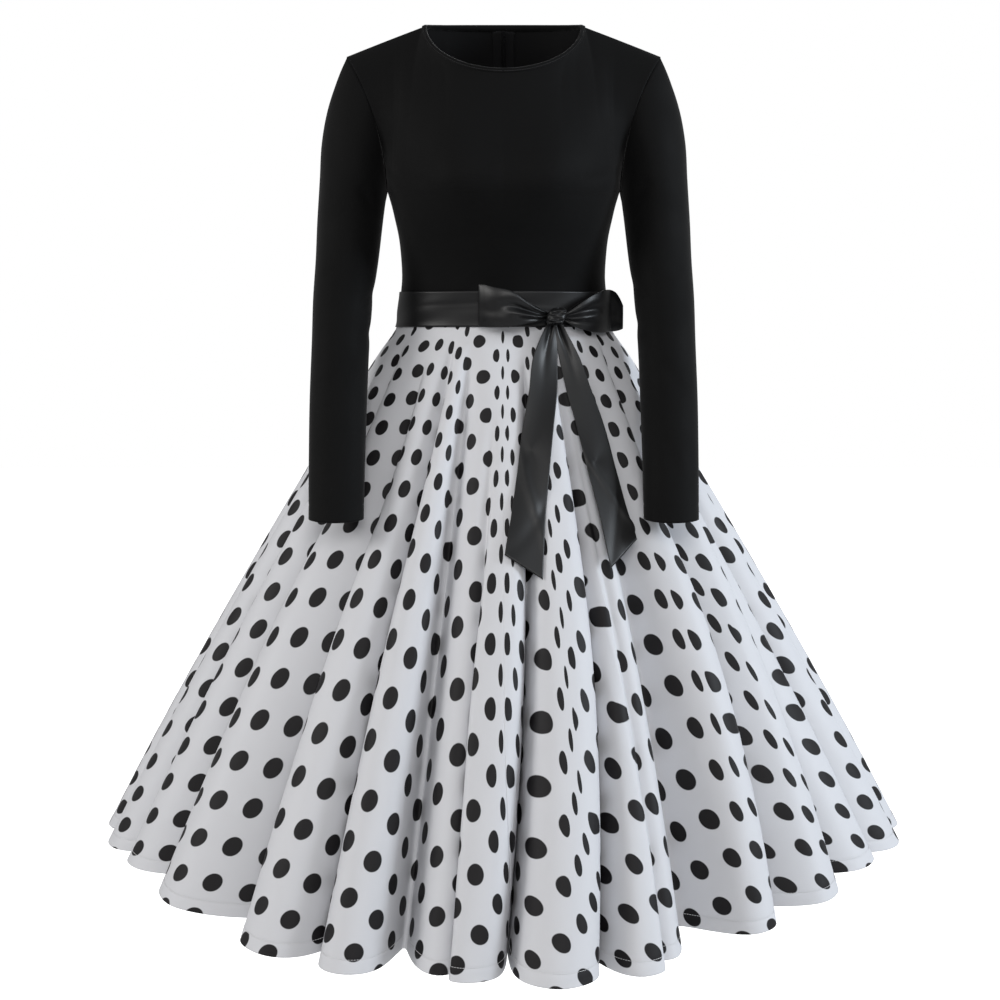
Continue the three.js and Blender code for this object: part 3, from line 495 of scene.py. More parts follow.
def armhole_point(rise, face):
    reach = 41 if face < 0 else 37
    x = UNDERARM[0] + (SHOULDER_TIP[0] - UNDERARM[0]) * rise ** 2.1
    y = face * reach * np.maximum(0, np.sin(np.pi * rise)) ** 0.7
    return points_of(x, y, UNDERARM[1] + (SHOULDER_TIP[1] - UNDERARM[1]) * rise - 3.5 * rise ** 10)


def panel_top(across, face, tip):
    """The top edge of a half panel: the neckline under the binding, then the shoulder seam."""
    turn = np.pi / 2 * np.clip(across / NECK_SHARE, 0, 1)
    top = neck_point(turn if face < 0 else np.pi - turn, BINDING_WIDTH)
    along = np.clip((across - NECK_SHARE) / (1 - NECK_SHARE), 0, 1)[..., None]
    return top + (tip - top) * along


def yoke_point(across, rise, face):
    """across runs from 0 at the centre line to 1 at the armhole, rise from the underarm to the top."""
    quarter = np.pi / 2
    angle = across * quarter if face < 0 else np.pi - across * quarter
    bottom = lower_bodice(angle, np.full_like(across, UNDERARM[1]))
    tip = np.array([SHOULDER_TIP[0], 0, SHOULDER_TIP[1]], float)
    top = panel_top(across, face, tip)
    reach = 0.36 * smooth(across / 0.45) * smooth((1 - across) / 0.45)
    steps = (-0.9, -0.45, 0, 0.45, 0.9)
    eased = sum(panel_top(across + step * reach, face, tip) for step in steps) / len(steps)
    share = rise[..., None]
    point = bottom + (eased - bottom) * share + (top - eased) * share ** 6
    corner_bottom = lower_bodice(np.full_like(across, quarter), np.full_like(across, UNDERARM[1]))
    corner = corner_bottom + (tip - corner_bottom) * share
    point += (armhole_point(rise, face) - corner) * (across ** 3)[..., None]
    chest = (5 if face < 0 else 10) + 10 * smooth(across / 0.8) * (1 - across ** 4)
    point[..., 1] += face * chest * np.sin(np.pi * rise) * (1 - across ** 6)
    below = lower_bodice(angle, np.full_like(across, UNDERARM[1] - 4.0))
    height = (eased[..., 2] - bottom[..., 2])[..., None]
    carry = (bottom - below) / 4.0 * height - (eased - bottom)
    carry[..., 1] -= face * chest * np.pi * (1 - across ** 6)
    ease = (rise * (1 - rise) ** 3 * (1 - across ** 4))[..., None]
    carry[..., 2] = 0
    return point + carry * ease


def bodice_panel(columns, face, below_rows=56, yoke_rows=64):
    """One panel: columns run from -1 to 1 across the body, face is -1 for the front and 1 for the back."""
    across = np.abs(columns)
    side = np.where(columns < 0, -1.0, 1.0)
    angle = columns * np.pi / 2 if face < 0 else np.pi - columns * np.pi / 2
    levels = np.linspace(WAIST_Z + 0.2, UNDERARM[1], below_rows, endpoint=False)
    below = [lower_bodice(angle, np.full_like(angle, z)) for z in levels]
    rises = 0.5 - 0.5 * np.cos(np.linspace(0, np.pi, yoke_rows))
    above = []
    for rise in rises:
        row = yoke_point(across, np.full_like(across, rise), face)
        row[..., 0] *= side
        above.append(row)
    return np.array(below + above)


BUST_CREASES = [
    {"start": (-150, -38, -140), "end": (-92, -110, -158), "depth": 1.6, "width": 7},
    {"start": (150, -38, -138), "end": (96, -108, -154), "depth": 1.4, "width": 7},
    {"start": (-107, -52, -305), "end": (-104, -95, -190), "depth": 1.5, "width": 5},
    {"start": (107, -52, -305), "end": (105, -95, -188), "depth": 1.5, "width": 5},
    {"start": (-60, -84, -300), "end": (-22, -97, -262), "depth": 0.9, "width": 8},
    {"start": (40, -90, -298), "end": (84, -92, -250), "depth": 1.0, "width": 9},
    {"start": (-176, -30, -40), "end": (-128, -66, -58), "depth": 1.2, "width": 8},
    {"start": (176, -30, -38), "end": (132, -64, -60), "depth": 1.0, "width": 8},
]
BACK_CREASES = [
    {"start": (70, 60, -304), "end": (66, 92, -180), "depth": 1.6, "width": 5},
    {"start": (-70, 60, -304), "end": (-66, 92, -180), "depth": 1.6, "width": 5},
    {"start": (20, 88, -285), "end": (88, 66, -266), "depth": 1.1, "width": 7},
    {"start": (-16, 89, -280), "end": (-84, 68, -258), "depth": 1.2, "width": 8},
    {"start": (150, 34, -120), "end": (104, 78, -140), "depth": 1.3, "width": 8},
    {"start": (-150, 34, -118), "end": (-98, 80, -146), "depth": 1.4, "width": 8},
]


ZIP_GAP = 3.2  # from the centre back to each back panel's edge


def add_bodice():
    zip_half = ZIP_GAP / UNDERARM[0] / (np.pi / 2)
    panels = [
        ("bodice_front", np.linspace(-1, 1, 161), -1, BUST_CREASES, (0.46, 0.40), 0.125),
        ("bodice_back_left", np.linspace(zip_half, 1, 84), 1, BACK_CREASES, (0.24, 0.39), 0.064),
        ("bodice_back_right", np.linspace(-1, -zip_half, 84), 1, BACK_CREASES, (0.24, 0.39), 0.064),
    ]
    for node, columns, face, creases, flat, area in panels:
        points = bodice_panel(columns, face)
        normals = grid_normals(points)
        if np.sum(normals[..., 1]) * face < 0:
            normals = -normals
        points = press_creases(points, normals, creases)
        if face > 0:
            edge = 0 if node.endswith("left") else -1
            points[:, edge, 0] = np.sign(columns[edge]) * ZIP_GAP
        piece = make_mesh(node + "_cloth", points, [knit, knit_inside])
        finish_piece(piece, node)
        print(node, "points", points.shape[0] * points.shape[1])


add_bodice()

# %% [markdown]
# ## The neck binding
# A narrow strip of the same knit is folded over the raw neckline and topstitched. It is swept round the
# neck with a rounded section, and its inner half shows at the back neck.

# %% Neck binding
BINDING_PROFILE = [  # how far beyond the neck edge, and how far out of the cloth
    (6.2, 0.2), (5.8, 0.8), (4.8, 1.1), (4.3, 0.7), (3.6, 1.1), (1.8, 1.2), (0.6, 0.8),
    (0.0, -0.2), (0.3, -1.2), (1.6, -2.0), (4.0, -2.2), (8.0, -2.2),
]


def neck_frame(turn):
    """Points of the neck edge, the way down the cloth from it, and the way out of the cloth."""
    edge = neck_point(turn)
    down = neck_point(turn, np.ones_like(turn)) - edge
    ahead = neck_point(turn + 0.004) - neck_point(turn - 0.004)
    out = np.cross(ahead, down)
    out /= np.linalg.norm(out, axis=-1, keepdims=True)
    out *= np.where(out[:, 2:3] + 0.3 * np.sign(edge[:, 0:1]) * out[:, 0:1] < 0, -1, 1)
    return edge, down, out


def add_binding():
    turn = np.linspace(0, 2 * np.pi, 240, endpoint=False)
    edge, down, out = neck_frame(turn)
    ripple = 1 + 0.06 * np.sin(23 * turn) + 0.05 * np.sin(37 * turn + 1)
    rows = [edge + down * beyond + out * (rise * ripple)[:, None] for beyond, rise in BINDING_PROFILE]
    piece = make_mesh("neck_binding_cloth", np.array(rows), [knit], around=True, thickness=0.0005)
    finish_piece(piece, "neck_binding")
    print("binding round", len(turn))


add_binding()

# %% [markdown]
# ## The sleeves
# Each sleeve is one tube from the armhole to the cuff. Its rings start at the underarm and pass the front
# of the arm, so that the seam runs straight down the inside. A cubic through the rings keeps the line
# from the shoulder to the wrist free of corners, and creases are pressed in at the elbow and underarm.

# %% Sleeves
SLEEVE_SECTIONS = [
    {"z": -199, "inner": 148, "outer": 229, "middle": -12, "depth": 53},
    {"z": -247, "inner": 153, "outer": 230, "middle": -32, "depth": 50},
    {"z": -295, "inner": 159, "outer": 232, "middle": -54, "depth": 46},
    {"z": -342, "inner": 162, "outer": 232, "middle": -78, "depth": 43},
    {"z": -412, "inner": 164, "outer": 233, "middle": -108, "depth": 39},
    {"z": -482, "inner": 165, "outer": 232, "middle": -142, "depth": 35},
    {"z": -546, "inner": 165, "outer": 230, "middle": -177, "depth": 31},
]
UPPER_ARM = {"inner": 145.5, "inner_z": -179, "outer": 226, "outer_z": -150, "middle": -5, "depth": 54}
CAP_STEPS = (0.2, 0.45, 0.72)
CAP_FULLNESS = {"outward": 9, "sideways": 6}
SLEEVE_CREASES = [
    {"start": (158, -50, -232), "end": (214, -84, -262), "depth": 1.6, "width": 9},
    {"start": (166, -18, -268), "end": (166, -112, -300), "depth": 3.2, "width": 9},
    {"start": (164, -30, -316), "end": (172, -128, -338), "depth": 2.6, "width": 8},
    {"start": (176, -122, -352), "end": (214, -140, -402), "depth": 1.6, "width": 9},
    {"start": (222, -60, -420), "end": (232, -120, -470), "depth": 1.4, "width": 11},
    {"start": (150, -50, -186), "end": (176, -56, -150), "depth": 2.2, "width": 8},
    {"start": (152, 40, -190), "end": (184, 46, -140), "depth": 2.2, "width": 8},
    {"start": (184, -150, -440), "end": (206, -186, -500), "depth": 1.2, "width": 9},
    {"start": (196, 42, -240), "end": (222, 6, -300), "depth": 1.8, "width": 10},
]


def armhole_ring(turn):
    rise = (1 - np.cos(turn)) / 2
    return np.where((turn <= np.pi)[:, None], armhole_point(rise, -1), armhole_point(rise, 1))


def arm_ring(turn, inner, outer, middle, depth):
    x = (inner + outer) / 2 - (outer - inner) / 2 * np.cos(turn)
    return points_of(x, middle - depth * np.sin(turn), 0.0)


def through(stack, rows):
    """A smooth run of rows through a stack of rings or cross-sections, evenly spaced along it."""
    stack = np.array(stack, float)
    place = np.concatenate([[0], np.cumsum(np.linalg.norm(np.diff(stack, axis=0), axis=-1).mean(axis=1))])
    slopes = np.gradient(stack, place, axis=0)
    wanted = np.linspace(0, place[-1], rows)
    k = np.clip(np.searchsorted(place, wanted, side="right") - 1, 0, len(place) - 2)
    span = (place[k + 1] - place[k])[:, None, None]
    t = ((wanted - place[k])[:, None, None]) / span
    a, b, ta, tb = stack[k], stack[k + 1], slopes[k] * span, slopes[k + 1] * span
    return a + t * ta + t * t * (3 * (b - a) - 2 * ta - tb) + t ** 3 * (2 * (a - b) + ta + tb)


def sleeve_rings(columns):
    turn = np.linspace(0, 2 * np.pi, columns, endpoint=False)
    seam = armhole_ring(turn)
    arm = UPPER_ARM
    upper = arm_ring(turn, arm["inner"], arm["outer"], arm["middle"], arm["depth"])
    fall = (arm["outer_z"] - arm["inner_z"]) / (arm["outer"] - arm["inner"])
    upper[:, 2] = arm["inner_z"] + (upper[:, 0] - arm["inner"]) * fall
    rings = [seam]
    for share in CAP_STEPS:
        swell = math.sin(math.pi * share)
        ring = seam + (upper - seam) * share
        ring[:, 0] += CAP_FULLNESS["outward"] * (1 - np.cos(turn)) * 0.5 * swell
        ring[:, 1] -= CAP_FULLNESS["sideways"] * np.sin(turn) * swell
        rings.append(ring)
    rings.append(upper)
    for row in SLEEVE_SECTIONS:
        ring = arm_ring(turn, row["inner"], row["outer"], row["middle"], row["depth"])
        ring[:, 2] = row["z"]
        rings.append(ring)
    return rings


def add_sleeve(node, side, shift):
    points = through(sleeve_rings(96), 170)
    normals = outward(points, grid_normals(points, around=True))
    creases = [dict(crease, start=np.array(crease["start"]) + shift, end=np.array(crease["end"]) + shift)
               for crease in SLEEVE_CREASES]
    points = press_creases(points, normals, creases)
    down = np.linspace(0, 1, len(points))
    hem = 0.35 * bell((down - 0.965) / 0.004)
    sunk = 0.7 * bell(down / 0.012)
    points -= normals * (hem + sunk)[:, None, None]
    points[..., 0] *= side
    piece = make_mesh(node + "_cloth", points, [knit, knit_inside], around=True)
    finish_piece(piece, node)
    print(node, "points", points.shape[0] * points.shape[1])


add_sleeve("sleeve_left", 1, np.array([0, 0, 0]))
add_sleeve("sleeve_right", -1, np.array([0, 2, -9]))

# %% [markdown]
# ## The skirt's folds
# A full circle of cloth is far longer at its hem than the form that it hangs from, so it falls in deep
# folds that start near the waist and grow to the hem. Each fold is a row of a table: where it lies, how
# deep and wide it gets, where it starts, and which of its sides swings over it. Depth goes inwards and
# the swing goes sideways, which closes a fold into a sharp line the way a real one closes.

# %% Skirt form and folds
SKIRT_SECTIONS = [
    {"z": -312, "half_width": 130, "front": 93, "back": 88},
    {"z": -333, "half_width": 133, "front": 95, "back": 91},
    {"z": -365, "half_width": 154, "front": 107, "back": 105},
    {"z": -420, "half_width": 188, "front": 133, "back": 134},
    {"z": -500, "half_width": 238, "front": 174, "back": 178},
    {"z": -600, "half_width": 297, "front": 228, "back": 234},
    {"z": -720, "half_width": 365, "front": 291, "back": 299},
    {"z": -860, "half_width": 441, "front": 358, "back": 368},
    {"z": -1016, "half_width": 520, "front": 427, "back": 436},
]
BELT_BOTTOM = -333
HEM_Z = -1016
HEM_RISE = 46
# Each fold: angle from the centre front, depth, width of its left and right slope, start, swing of its
# left and right side, and lean, which is how many degrees further round it starts at the waist.
FOLDS = [
    (-170, 72, 7.5, 3.0, 0.50, 0.0, 1.0, 0), (-156, 80, 3.2, 7.0, 0.10, 1.0, 0.0, 0),
    (-141, 76, 5.5, 6.0, 0.04, 0.3, 0.3, 0), (-127, 66, 7.0, 2.6, 0.16, 0.0, 1.0, 0),
    (-113, 80, 3.0, 7.0, 0.06, 1.0, 0.0, 0), (-98, 66, 6.0, 3.0, 0.12, 0.1, 0.8, 0),
    (-84, 44, 4.0, 3.6, 0.16, 0.3, 0.3, 0), (-71, 56, 4.0, 3.0, 0.10, 0.2, 0.5, 0),
    (-56, 112, 6.0, 2.2, 0.06, 0.0, 1.2, 0), (-37.0, 104, 8.0, 2.6, 0.10, 0.0, 0.8, 0),
    (-25.0, 116, 2.6, 1.9, 0.04, 0.6, 0.8, 0), (-16.8, 124, 1.8, 6.4, 0.06, 0.9, 0.0, 1),
    (-5.4, 44, 2.4, 1.6, 0.28, 0.0, 1.5, 2), (0.6, 134, 1.6, 1.9, 0.12, 0.6, 0.8, 9),
    (12.0, 124, 1.6, 2.6, 0.10, 1.1, 0.2, 12), (20.6, 36, 1.3, 2.4, 0.22, 0.8, 0.0, 6),
    (30.4, 136, 6.0, 4.6, 0.06, 0.0, 0.0, 6), (40.4, 134, 2.0, 6.8, 0.06, 1.2, 0.0, 14),
    (55.0, 128, 2.2, 6.0, 0.08, 1.2, 0.0, 16), (69, 66, 2.6, 4.6, 0.12, 0.9, 0.1, 8),
    (83, 44, 3.0, 4.6, 0.14, 0.5, 0.2, 2), (98, 70, 3.0, 6.4, 0.06, 0.9, 0.1, 0),
    (114, 78, 7.2, 2.8, 0.12, 0.0, 1.1, 0), (129, 70, 3.0, 6.6, 0.04, 1.0, 0.1, 0),
    (144, 80, 6.0, 5.0, 0.10, 0.3, 0.4, 0), (157, 70, 2.8, 6.8, 0.16, 1.1, 0.0, 0),
    (171, 64, 6.6, 3.0, 0.50, 0.1, 0.9, 0),
]
CREST_SWELL = 20  # how far the crests between the folds push the cloth back out at the hem
SLEEVE_DENT = {"angle": 46, "width": 16, "z": -540, "height": 85, "depth": 8}


def valley(across):
    """The section of a fold: a soft V, so that its slopes turn away from the light over a good width."""
    return np.exp(-np.power(np.sqrt(across * across + 0.03), 1.35))


def turn_between(a, b):
    return np.arctan2(np.sin(a - b), np.cos(a - b))


def skirt_form(angle, z):
    point = oval(SKIRT_SECTIONS, angle, np.broadcast_to(z, np.shape(angle)))
    point[..., 2] += WAIST_LIFT * np.maximum(0, np.cos(angle)) * smooth((z + 500) / 160)
    return point


def hem_rise(angle):
    """The hem hangs a little higher at the sides, where the skirt stands out furthest."""
    from_middle = np.degrees(np.arccos(np.abs(np.cos(angle))))
    return HEM_RISE * smooth((from_middle - 11) / 62) - 4.0


def skirt_point(angle, level):
    """A point of the folded skirt. level is the height it would have with a level hem."""
    share = np.clip((BELT_BOTTOM - level) / (BELT_BOTTOM - HEM_Z), 0, 1)
    z = level + hem_rise(angle) * share ** 1.6
    point = skirt_form(angle, z)
    reach = np.hypot(point[..., 0], point[..., 1])
    out = points_of(point[..., 0] / reach, point[..., 1] / reach, 0.0)
    aside = points_of(-out[..., 1], out[..., 0], 0.0)
    down = np.clip((BELT_BOTTOM - z) / (BELT_BOTTOM - HEM_Z), 0, 1)
    depth = np.zeros_like(reach)
    swing = np.zeros_like(reach)
    for place, deep, wide_left, wide_right, start, left, right, lean in FOLDS:
        grown = np.clip((down - start * 0.5) / (1 - start * 0.5), 0, 1) ** 0.85
        away = turn_between(angle, np.radians(place + lean * (1 - down)))
        across = away / np.radians(np.where(away < 0, wide_left, wide_right))
        both = (wide_left + wide_right) / 2
        half = math.radians(both if left * right else min(wide_left, wide_right) * 1.5)
        depth += deep * grown * valley(across)
        close = left * bell((across + 1.1) / 0.9) - right * bell((across - 1.1) / 0.9)
        swing += close * half * reach * smooth(grown * 1.6)
    from_front = np.degrees(np.abs(turn_between(angle, 0.0)))
    dent = bell((from_front - SLEEVE_DENT["angle"]) / SLEEVE_DENT["width"])
    depth += SLEEVE_DENT["depth"] * dent * bell((z - SLEEVE_DENT["z"]) / SLEEVE_DENT["height"])
    depth -= CREST_SWELL * share
    return point - out * depth[..., None] + aside * swing[..., None]


fine = np.radians(np.linspace(-180, 180, 7201))
fine_hem = skirt_point(fine, HEM_Z)
hem_run = np.concatenate([[0], np.cumsum(np.linalg.norm(np.diff(fine_hem, axis=0), axis=-1))])
print("hem length", round(hem_run[-1]), "mm of cloth")

# %% [markdown]
# ## The skirt's panels and their print
# The cloth is printed flat and then cut, so the dots follow the flat pattern and not the folds. Each
# point of a panel gets its place on that flat ring: how far round the hem it is, and how far down the
# cloth from the waist. The dots grow a little towards the hem.

# %% Skirt panels
FLAT_RADIUS = 815.0  # millimetres from the middle of the pattern ring to its hem
HEM_BAND = 15.0
SKIRT_LENGTH = 760  # millimetres of cloth from the waist to the hem
SKIRT_COLUMNS = 210
LATTICE_TURN = math.radians(1.4)


def lattice_radius(down):
    """Diagonal repeats of the dots from the middle of the pattern, for a distance down the cloth."""
    return 3.194 + 0.0248 * down - 2.38e-5 * down ** 2 + 1.61e-8 * down ** 3


def skirt_levels():
    main = np.linspace(WAIST_Z - 0.4, HEM_Z + 18, 88)
    band = HEM_Z + np.array([15.6, 14.6, 13.8, 12.9, 9.0, 4.5, 1.2, 0.0])
    return np.concatenate([main, band])


def add_skirt_panel(node, first, last):
    start, end = np.interp(np.radians([first, last]), fine, hem_run)
    angles = np.interp(np.linspace(start, end, SKIRT_COLUMNS), hem_run, fine)
    levels = skirt_levels()
    points = np.array([skirt_point(angles, z) for z in levels])
    normals = outward(points, grid_normals(points))
    from_edge = levels - HEM_Z
    band = 0.35 * smooth((HEM_BAND - from_edge) / 1.2) - 0.45 * bell((from_edge - HEM_BAND + 0.6) / 0.8)
    points += normals * band[:, None, None]
    down = np.cumsum(np.linalg.norm(np.diff(points, axis=0, prepend=points[:1]), axis=-1), axis=0)
    centre = 0.0 if 0 in (first, last) else math.copysign(180, first + last)
    centre_run = np.interp(math.radians(centre), fine, hem_run)
    turn_share = 1.02 - 0.20 * down / SKIRT_LENGTH
    from_centre = np.linspace(start, end, SKIRT_COLUMNS) - centre_run
    flat_turn = turn_share * (from_centre / FLAT_RADIUS + LATTICE_TURN)
    radius = lattice_radius(down)
    x, y = radius * np.sin(flat_turn), radius * np.cos(flat_turn)
    uv = np.stack([x + y, y - x], axis=-1)
    dots = 0.262 - 0.012 * np.clip(down / SKIRT_LENGTH, 0, 1)
    piece = make_mesh(node + "_cloth", points, [dotted, dotted_inside], uv=uv, dots=dots)
    finish_piece(piece, node)
    along, across = points[1:, :-1] - points[:-1, :-1], points[:-1, 1:] - points[:-1, :-1]
    area = np.linalg.norm(np.cross(along, across), axis=-1)
    print(node, "hem", round(end - start), "mm, cloth", round(area.sum() * 1e-6, 3), "m2")
    return piece


for node, first, last in [("skirt_front_left", 0, 90), ("skirt_back_left", 90, 180),
                          ("skirt_back_right", -180, -90), ("skirt_front_right", -90, 0)]:
    add_skirt_panel(node, first, last)

# %% [markdown]
# ## Stitching
# Rows of machine stitches are small but they are what makes cloth read as sewn. Each stitch is a short
# flat bar laid on the cloth, and a row of them is one joined mesh, made from a line of points and the
# way out of the cloth at each.

# %% Stitch rows
# The six faces of a block whose eight corners are given two by two by two.
BLOCK_FACES = np.array([(0, 2, 3, 1), (4, 5, 7, 6), (0, 1, 5, 4), (2, 6, 7, 3), (0, 4, 6, 2), (1, 3, 7, 5)])


def add_blocks(name, corners, material):
    """One mesh of many small blocks; corners is an array of blocks, eight corners each, in millimetres."""
    faces = (BLOCK_FACES[None] + 8 * np.arange(len(corners))[:, None, None]).reshape(-1, 4)
    mesh = bpy.data.meshes.new(name)
    mesh.from_pydata((corners.reshape(-1, 3) * MM).tolist(), [], faces.tolist())
    mesh.materials.append(material)
    piece = bpy.data.objects.new(name, mesh)
    bpy.context.scene.collection.objects.link(piece)
    return piece


def add_stitches(name, line, out, pitch, length, width, material):
    run = np.concatenate([[0], np.cumsum(np.linalg.norm(np.diff(line, axis=0), axis=-1))])
    starts = np.arange(pitch * 0.3, run[-1] - pitch, pitch)
    ends = np.stack([starts, starts + length], axis=1)
    at = np.stack([np.interp(ends, run, line[:, i]) for i in range(3)], axis=-1)
    up = np.stack([np.interp(starts, run, out[:, i]) for i in range(3)], axis=-1)
    up /= np.linalg.norm(up, axis=-1, keepdims=True)
    along = at[:, 1] - at[:, 0]
    side = np.cross(along, up)
    side *= width / 2 / np.maximum(np.linalg.norm(side, axis=-1, keepdims=True), 1e-9)
    corners = []
    for lift in (-0.15, 0.22):
        for end in (0, 1):
            for sign in (-1, 1):
                corners.append(at[:, end] + up * lift + side * sign)
    finish_piece(add_blocks(name, np.stack(corners, axis=1), material), None)
    print(name, len(starts), "stitches")


hem_angles = np.interp(np.linspace(0, hem_run[-1], 3000), hem_run, fine)
hem_stitch_z = HEM_Z + HEM_BAND - 0.5
hem_rows = np.array([skirt_point(hem_angles, hem_stitch_z + shift) for shift in (1.0, 0.0, -1.0)])
hem_out = outward(hem_rows, grid_normals(hem_rows))
add_stitches("hem_stitches", hem_rows[1] + hem_out[1] * 0.1, hem_out[1], 3.3, 2.3, 0.45,
             white_thread)

neck_turns = np.linspace(0, 2 * np.pi, 900)
neck_edge, neck_down, neck_out = neck_frame(neck_turns)
add_stitches("binding_stitches", neck_edge + neck_down * 4.3 + neck_out * 0.9, neck_out, 3.0, 2.1, 0.4,
             black_thread)

# %% [markdown]
# ## The belt
# The belt is a satin ribbon laid round the waist seam. It is a ring of cloth standing just off the
# bodice and the skirt, with a few soft wrinkles where it is drawn towards the bow.

# %% Belt
BELT_TOP = -290
BOW = {"x": 63, "z": -313, "y": -103}


def waist_form(angle, z):
    return lower_bodice(angle, np.full_like(angle, z)) if z > WAIST_Z else skirt_form(angle, z)


def add_belt():
    angle = np.linspace(-np.pi, np.pi, 360, endpoint=False)
    out = points_of(np.sin(angle), -1.4 * np.cos(angle), 0.0)
    out /= np.linalg.norm(out, axis=-1, keepdims=True)
    rows = []
    for share in np.linspace(0, 1, 22):
        z = BELT_TOP + (BELT_BOTTOM - BELT_TOP) * share
        wrinkle = 0.35 * np.sin(9 * angle + 5 * share) * np.sin(math.pi * share)
        wrinkle += 0.5 * bell((share - 0.42 - 0.1 * np.sin(2 * angle)) / 0.05) * bell((angle - 0.25) / 0.22)
        wrinkle += 0.4 * bell((share - 0.66) / 0.05) * bell((angle - 0.3) / 0.2)
        wrinkle -= 0.4 * bell((share - 0.3 + 0.12 * angle) / 0.06) * bell((angle + 0.5) / 0.5)
        rows.append(waist_form(angle, z) + out * (2.1 + wrinkle)[:, None])
    piece = make_mesh("belt_ribbon_cloth", np.array(rows), [satin], around=True, thickness=0.0008)
    finish_piece(piece, "belt_ribbon")
    print("belt rows", len(rows))


add_belt()

# %% [markdown]
# ## The bow
# The bow's shapes are given, because a knot's pleats are clearer drawn than simulated. Each loop is a ribbon
# that goes out to its tip and comes back behind itself. Its edges are given along the way, so it can
# narrow into the knot, and pleats fan out from the knot and fade before the tip.

# %% Bow loops
LOOP_RIGHT = [  # along the loop: x, top z, bottom z, how far ahead of the belt
    (54, -309, -315, 9), (44, -305, -318, 15), (27, -294, -321, 22), (10, -282, -324, 25),
    (-12, -277, -325, 22), (-24, -274.5, -325, 15), (-30, -275, -324, 9), (-26, -277, -323, 4.5),
    (-6, -281, -321, 3.5), (22, -292, -319, 3.0), (54, -309, -314, 3.5),
]
LOOP_LEFT = [
    (73, -311, -319, 9), (83, -305, -325, 15), (96, -296, -330, 22), (110, -288, -334, 24),
    (124, -284, -336, 21), (137, -288, -336, 15), (147, -305, -333, 8), (138, -290, -333, 4.5),
    (114, -290, -330, 3.5), (92, -298, -326, 3.0), (73, -311, -318, 3.5),
]


def belt_front(x):
    share = np.clip(np.abs(x) / 133, 0, 0.98)
    return -97.5 * np.sqrt(1 - share * share) - 1.6


def rows_through(rows, count):
    """A smooth curve through a short table, as one array of columns."""
    table = np.array(rows, float)
    return through(table[:, None, :], count)[:, 0, :]


def add_loop(node, rows, pleats, phase):
    path = rows_through(rows, 120)
    share = np.linspace(0, 1, 48)
    x, top, bottom, ahead = path[:, 0:1], path[:, 1:2], path[:, 2:3], path[:, 3:4]
    z = top + (bottom - top) * share
    y = belt_front(x) - ahead + 0 * z
    points = np.stack(np.broadcast_arrays(x + 0 * z, y, z), axis=-1).copy()
    from_knot = np.abs(x - BOW["x"]) / 88
    near = bell(from_knot / 0.45)
    fan = np.sin(share * pleats * 2 * np.pi + phase) + 0.5 * np.sin(share * pleats * 3.4 * np.pi + 2 * phase)
    rolled = 4.5 * (np.abs(2 * share - 1) ** 3)
    front = np.clip((ahead - 4) / 10, 0, 1)
    points[..., 1] -= 2.3 * near * fan * (0.3 + 0.7 * front)
    points[..., 1] += rolled * front * (0.4 + 0.6 * from_knot)
    points[..., 1] = np.minimum(points[..., 1], belt_front(points[..., 0]) - 1.2)
    hollow = bell((share - 0.32 - 0.25 * from_knot) / 0.17) * bell((from_knot - 0.6) / 0.3)
    ridge = bell((share - 0.62 + 0.15 * from_knot) / 0.13) * bell((from_knot - 0.55) / 0.32)
    points[..., 1] += (7.0 * hollow - 4.0 * ridge) * front
    piece = make_mesh(node + "_cloth", points, [satin], thickness=0.0007, offset=0.0)
    finish_piece(piece, node)


add_loop("bow_loop_right", LOOP_RIGHT, 2.0, 0.6)
add_loop("bow_loop_left", LOOP_LEFT, 1.8, 2.1)

# %% [markdown]
# The knot is a short wrap of the same ribbon, pulled tight: a rounded block with deep pleats that run up
# and down over its front.

# %% Knot
def squared(value):
    """Pushes the roundness of a sine or cosine towards a square's."""
    return np.sign(value) * np.abs(value) ** 0.7


def add_knot():
    turn = np.linspace(0, 2 * np.pi, 96, endpoint=False)
    rise = np.linspace(-np.pi / 2 * 0.985, np.pi / 2 * 0.985, 48)
    c, s = np.cos(rise)[:, None], np.sin(rise)[:, None]
    x = squared(c * np.sin(turn)) * 11
    y = squared(-c * np.cos(turn)) * 9
    z = squared(s) * (9 + 1.5 * np.sin(turn) ** 2)
    pleat = np.sin(z * 0.9 + 0.35 * x) + 0.6 * np.sin(z * 1.7 + 1.3 - 0.2 * x)
    y -= np.where(y < 0, 1.0, 0.0) * pleat * c ** 0.5
    lean = 0.3 * z
    points = points_of(x + BOW["x"] + lean, y + BOW["y"] - 2, z + BOW["z"])
    piece = make_mesh("bow_knot_cloth", points, [satin], around=True, thickness=0.0007, offset=0.0)
    finish_piece(piece, "bow_knot")


add_knot()

# %% [markdown]
# The two tails hang over the skirt and are cut on a slant. Their middle line, width and turn come from a
# short table, and they lie a little off the skirt's form so that the folds pass behind them.

# %% Tails
TAIL_RIGHT = [  # middle x, z, half width, stand-off, turn about the tail's own line
    (60, -316, 4.5, 12, 0.3), (56, -330, 8, 12, 0.35), (50, -360, 14.5, 10, 0.22), (47, -400, 17, 8, 0.1),
    (41, -440, 18.5, 7, 0.0), (35, -490, 19, 7, -0.05), (28, -545, 20.5, 7, 0.1), (23, -594, 22, 8, 0.15),
]
TAIL_LEFT = [
    (64, -318, 4, 12, -0.4), (68, -332, 7.5, 12, -0.45), (78, -360, 12, 10, -0.35), (90, -400, 15, 8, -0.2),
    (103, -440, 16.5, 7, -0.1), (116, -490, 17, 7, 0.0), (129, -538, 17, 7, 0.08), (141, -584, 16, 8, 0.1),
]


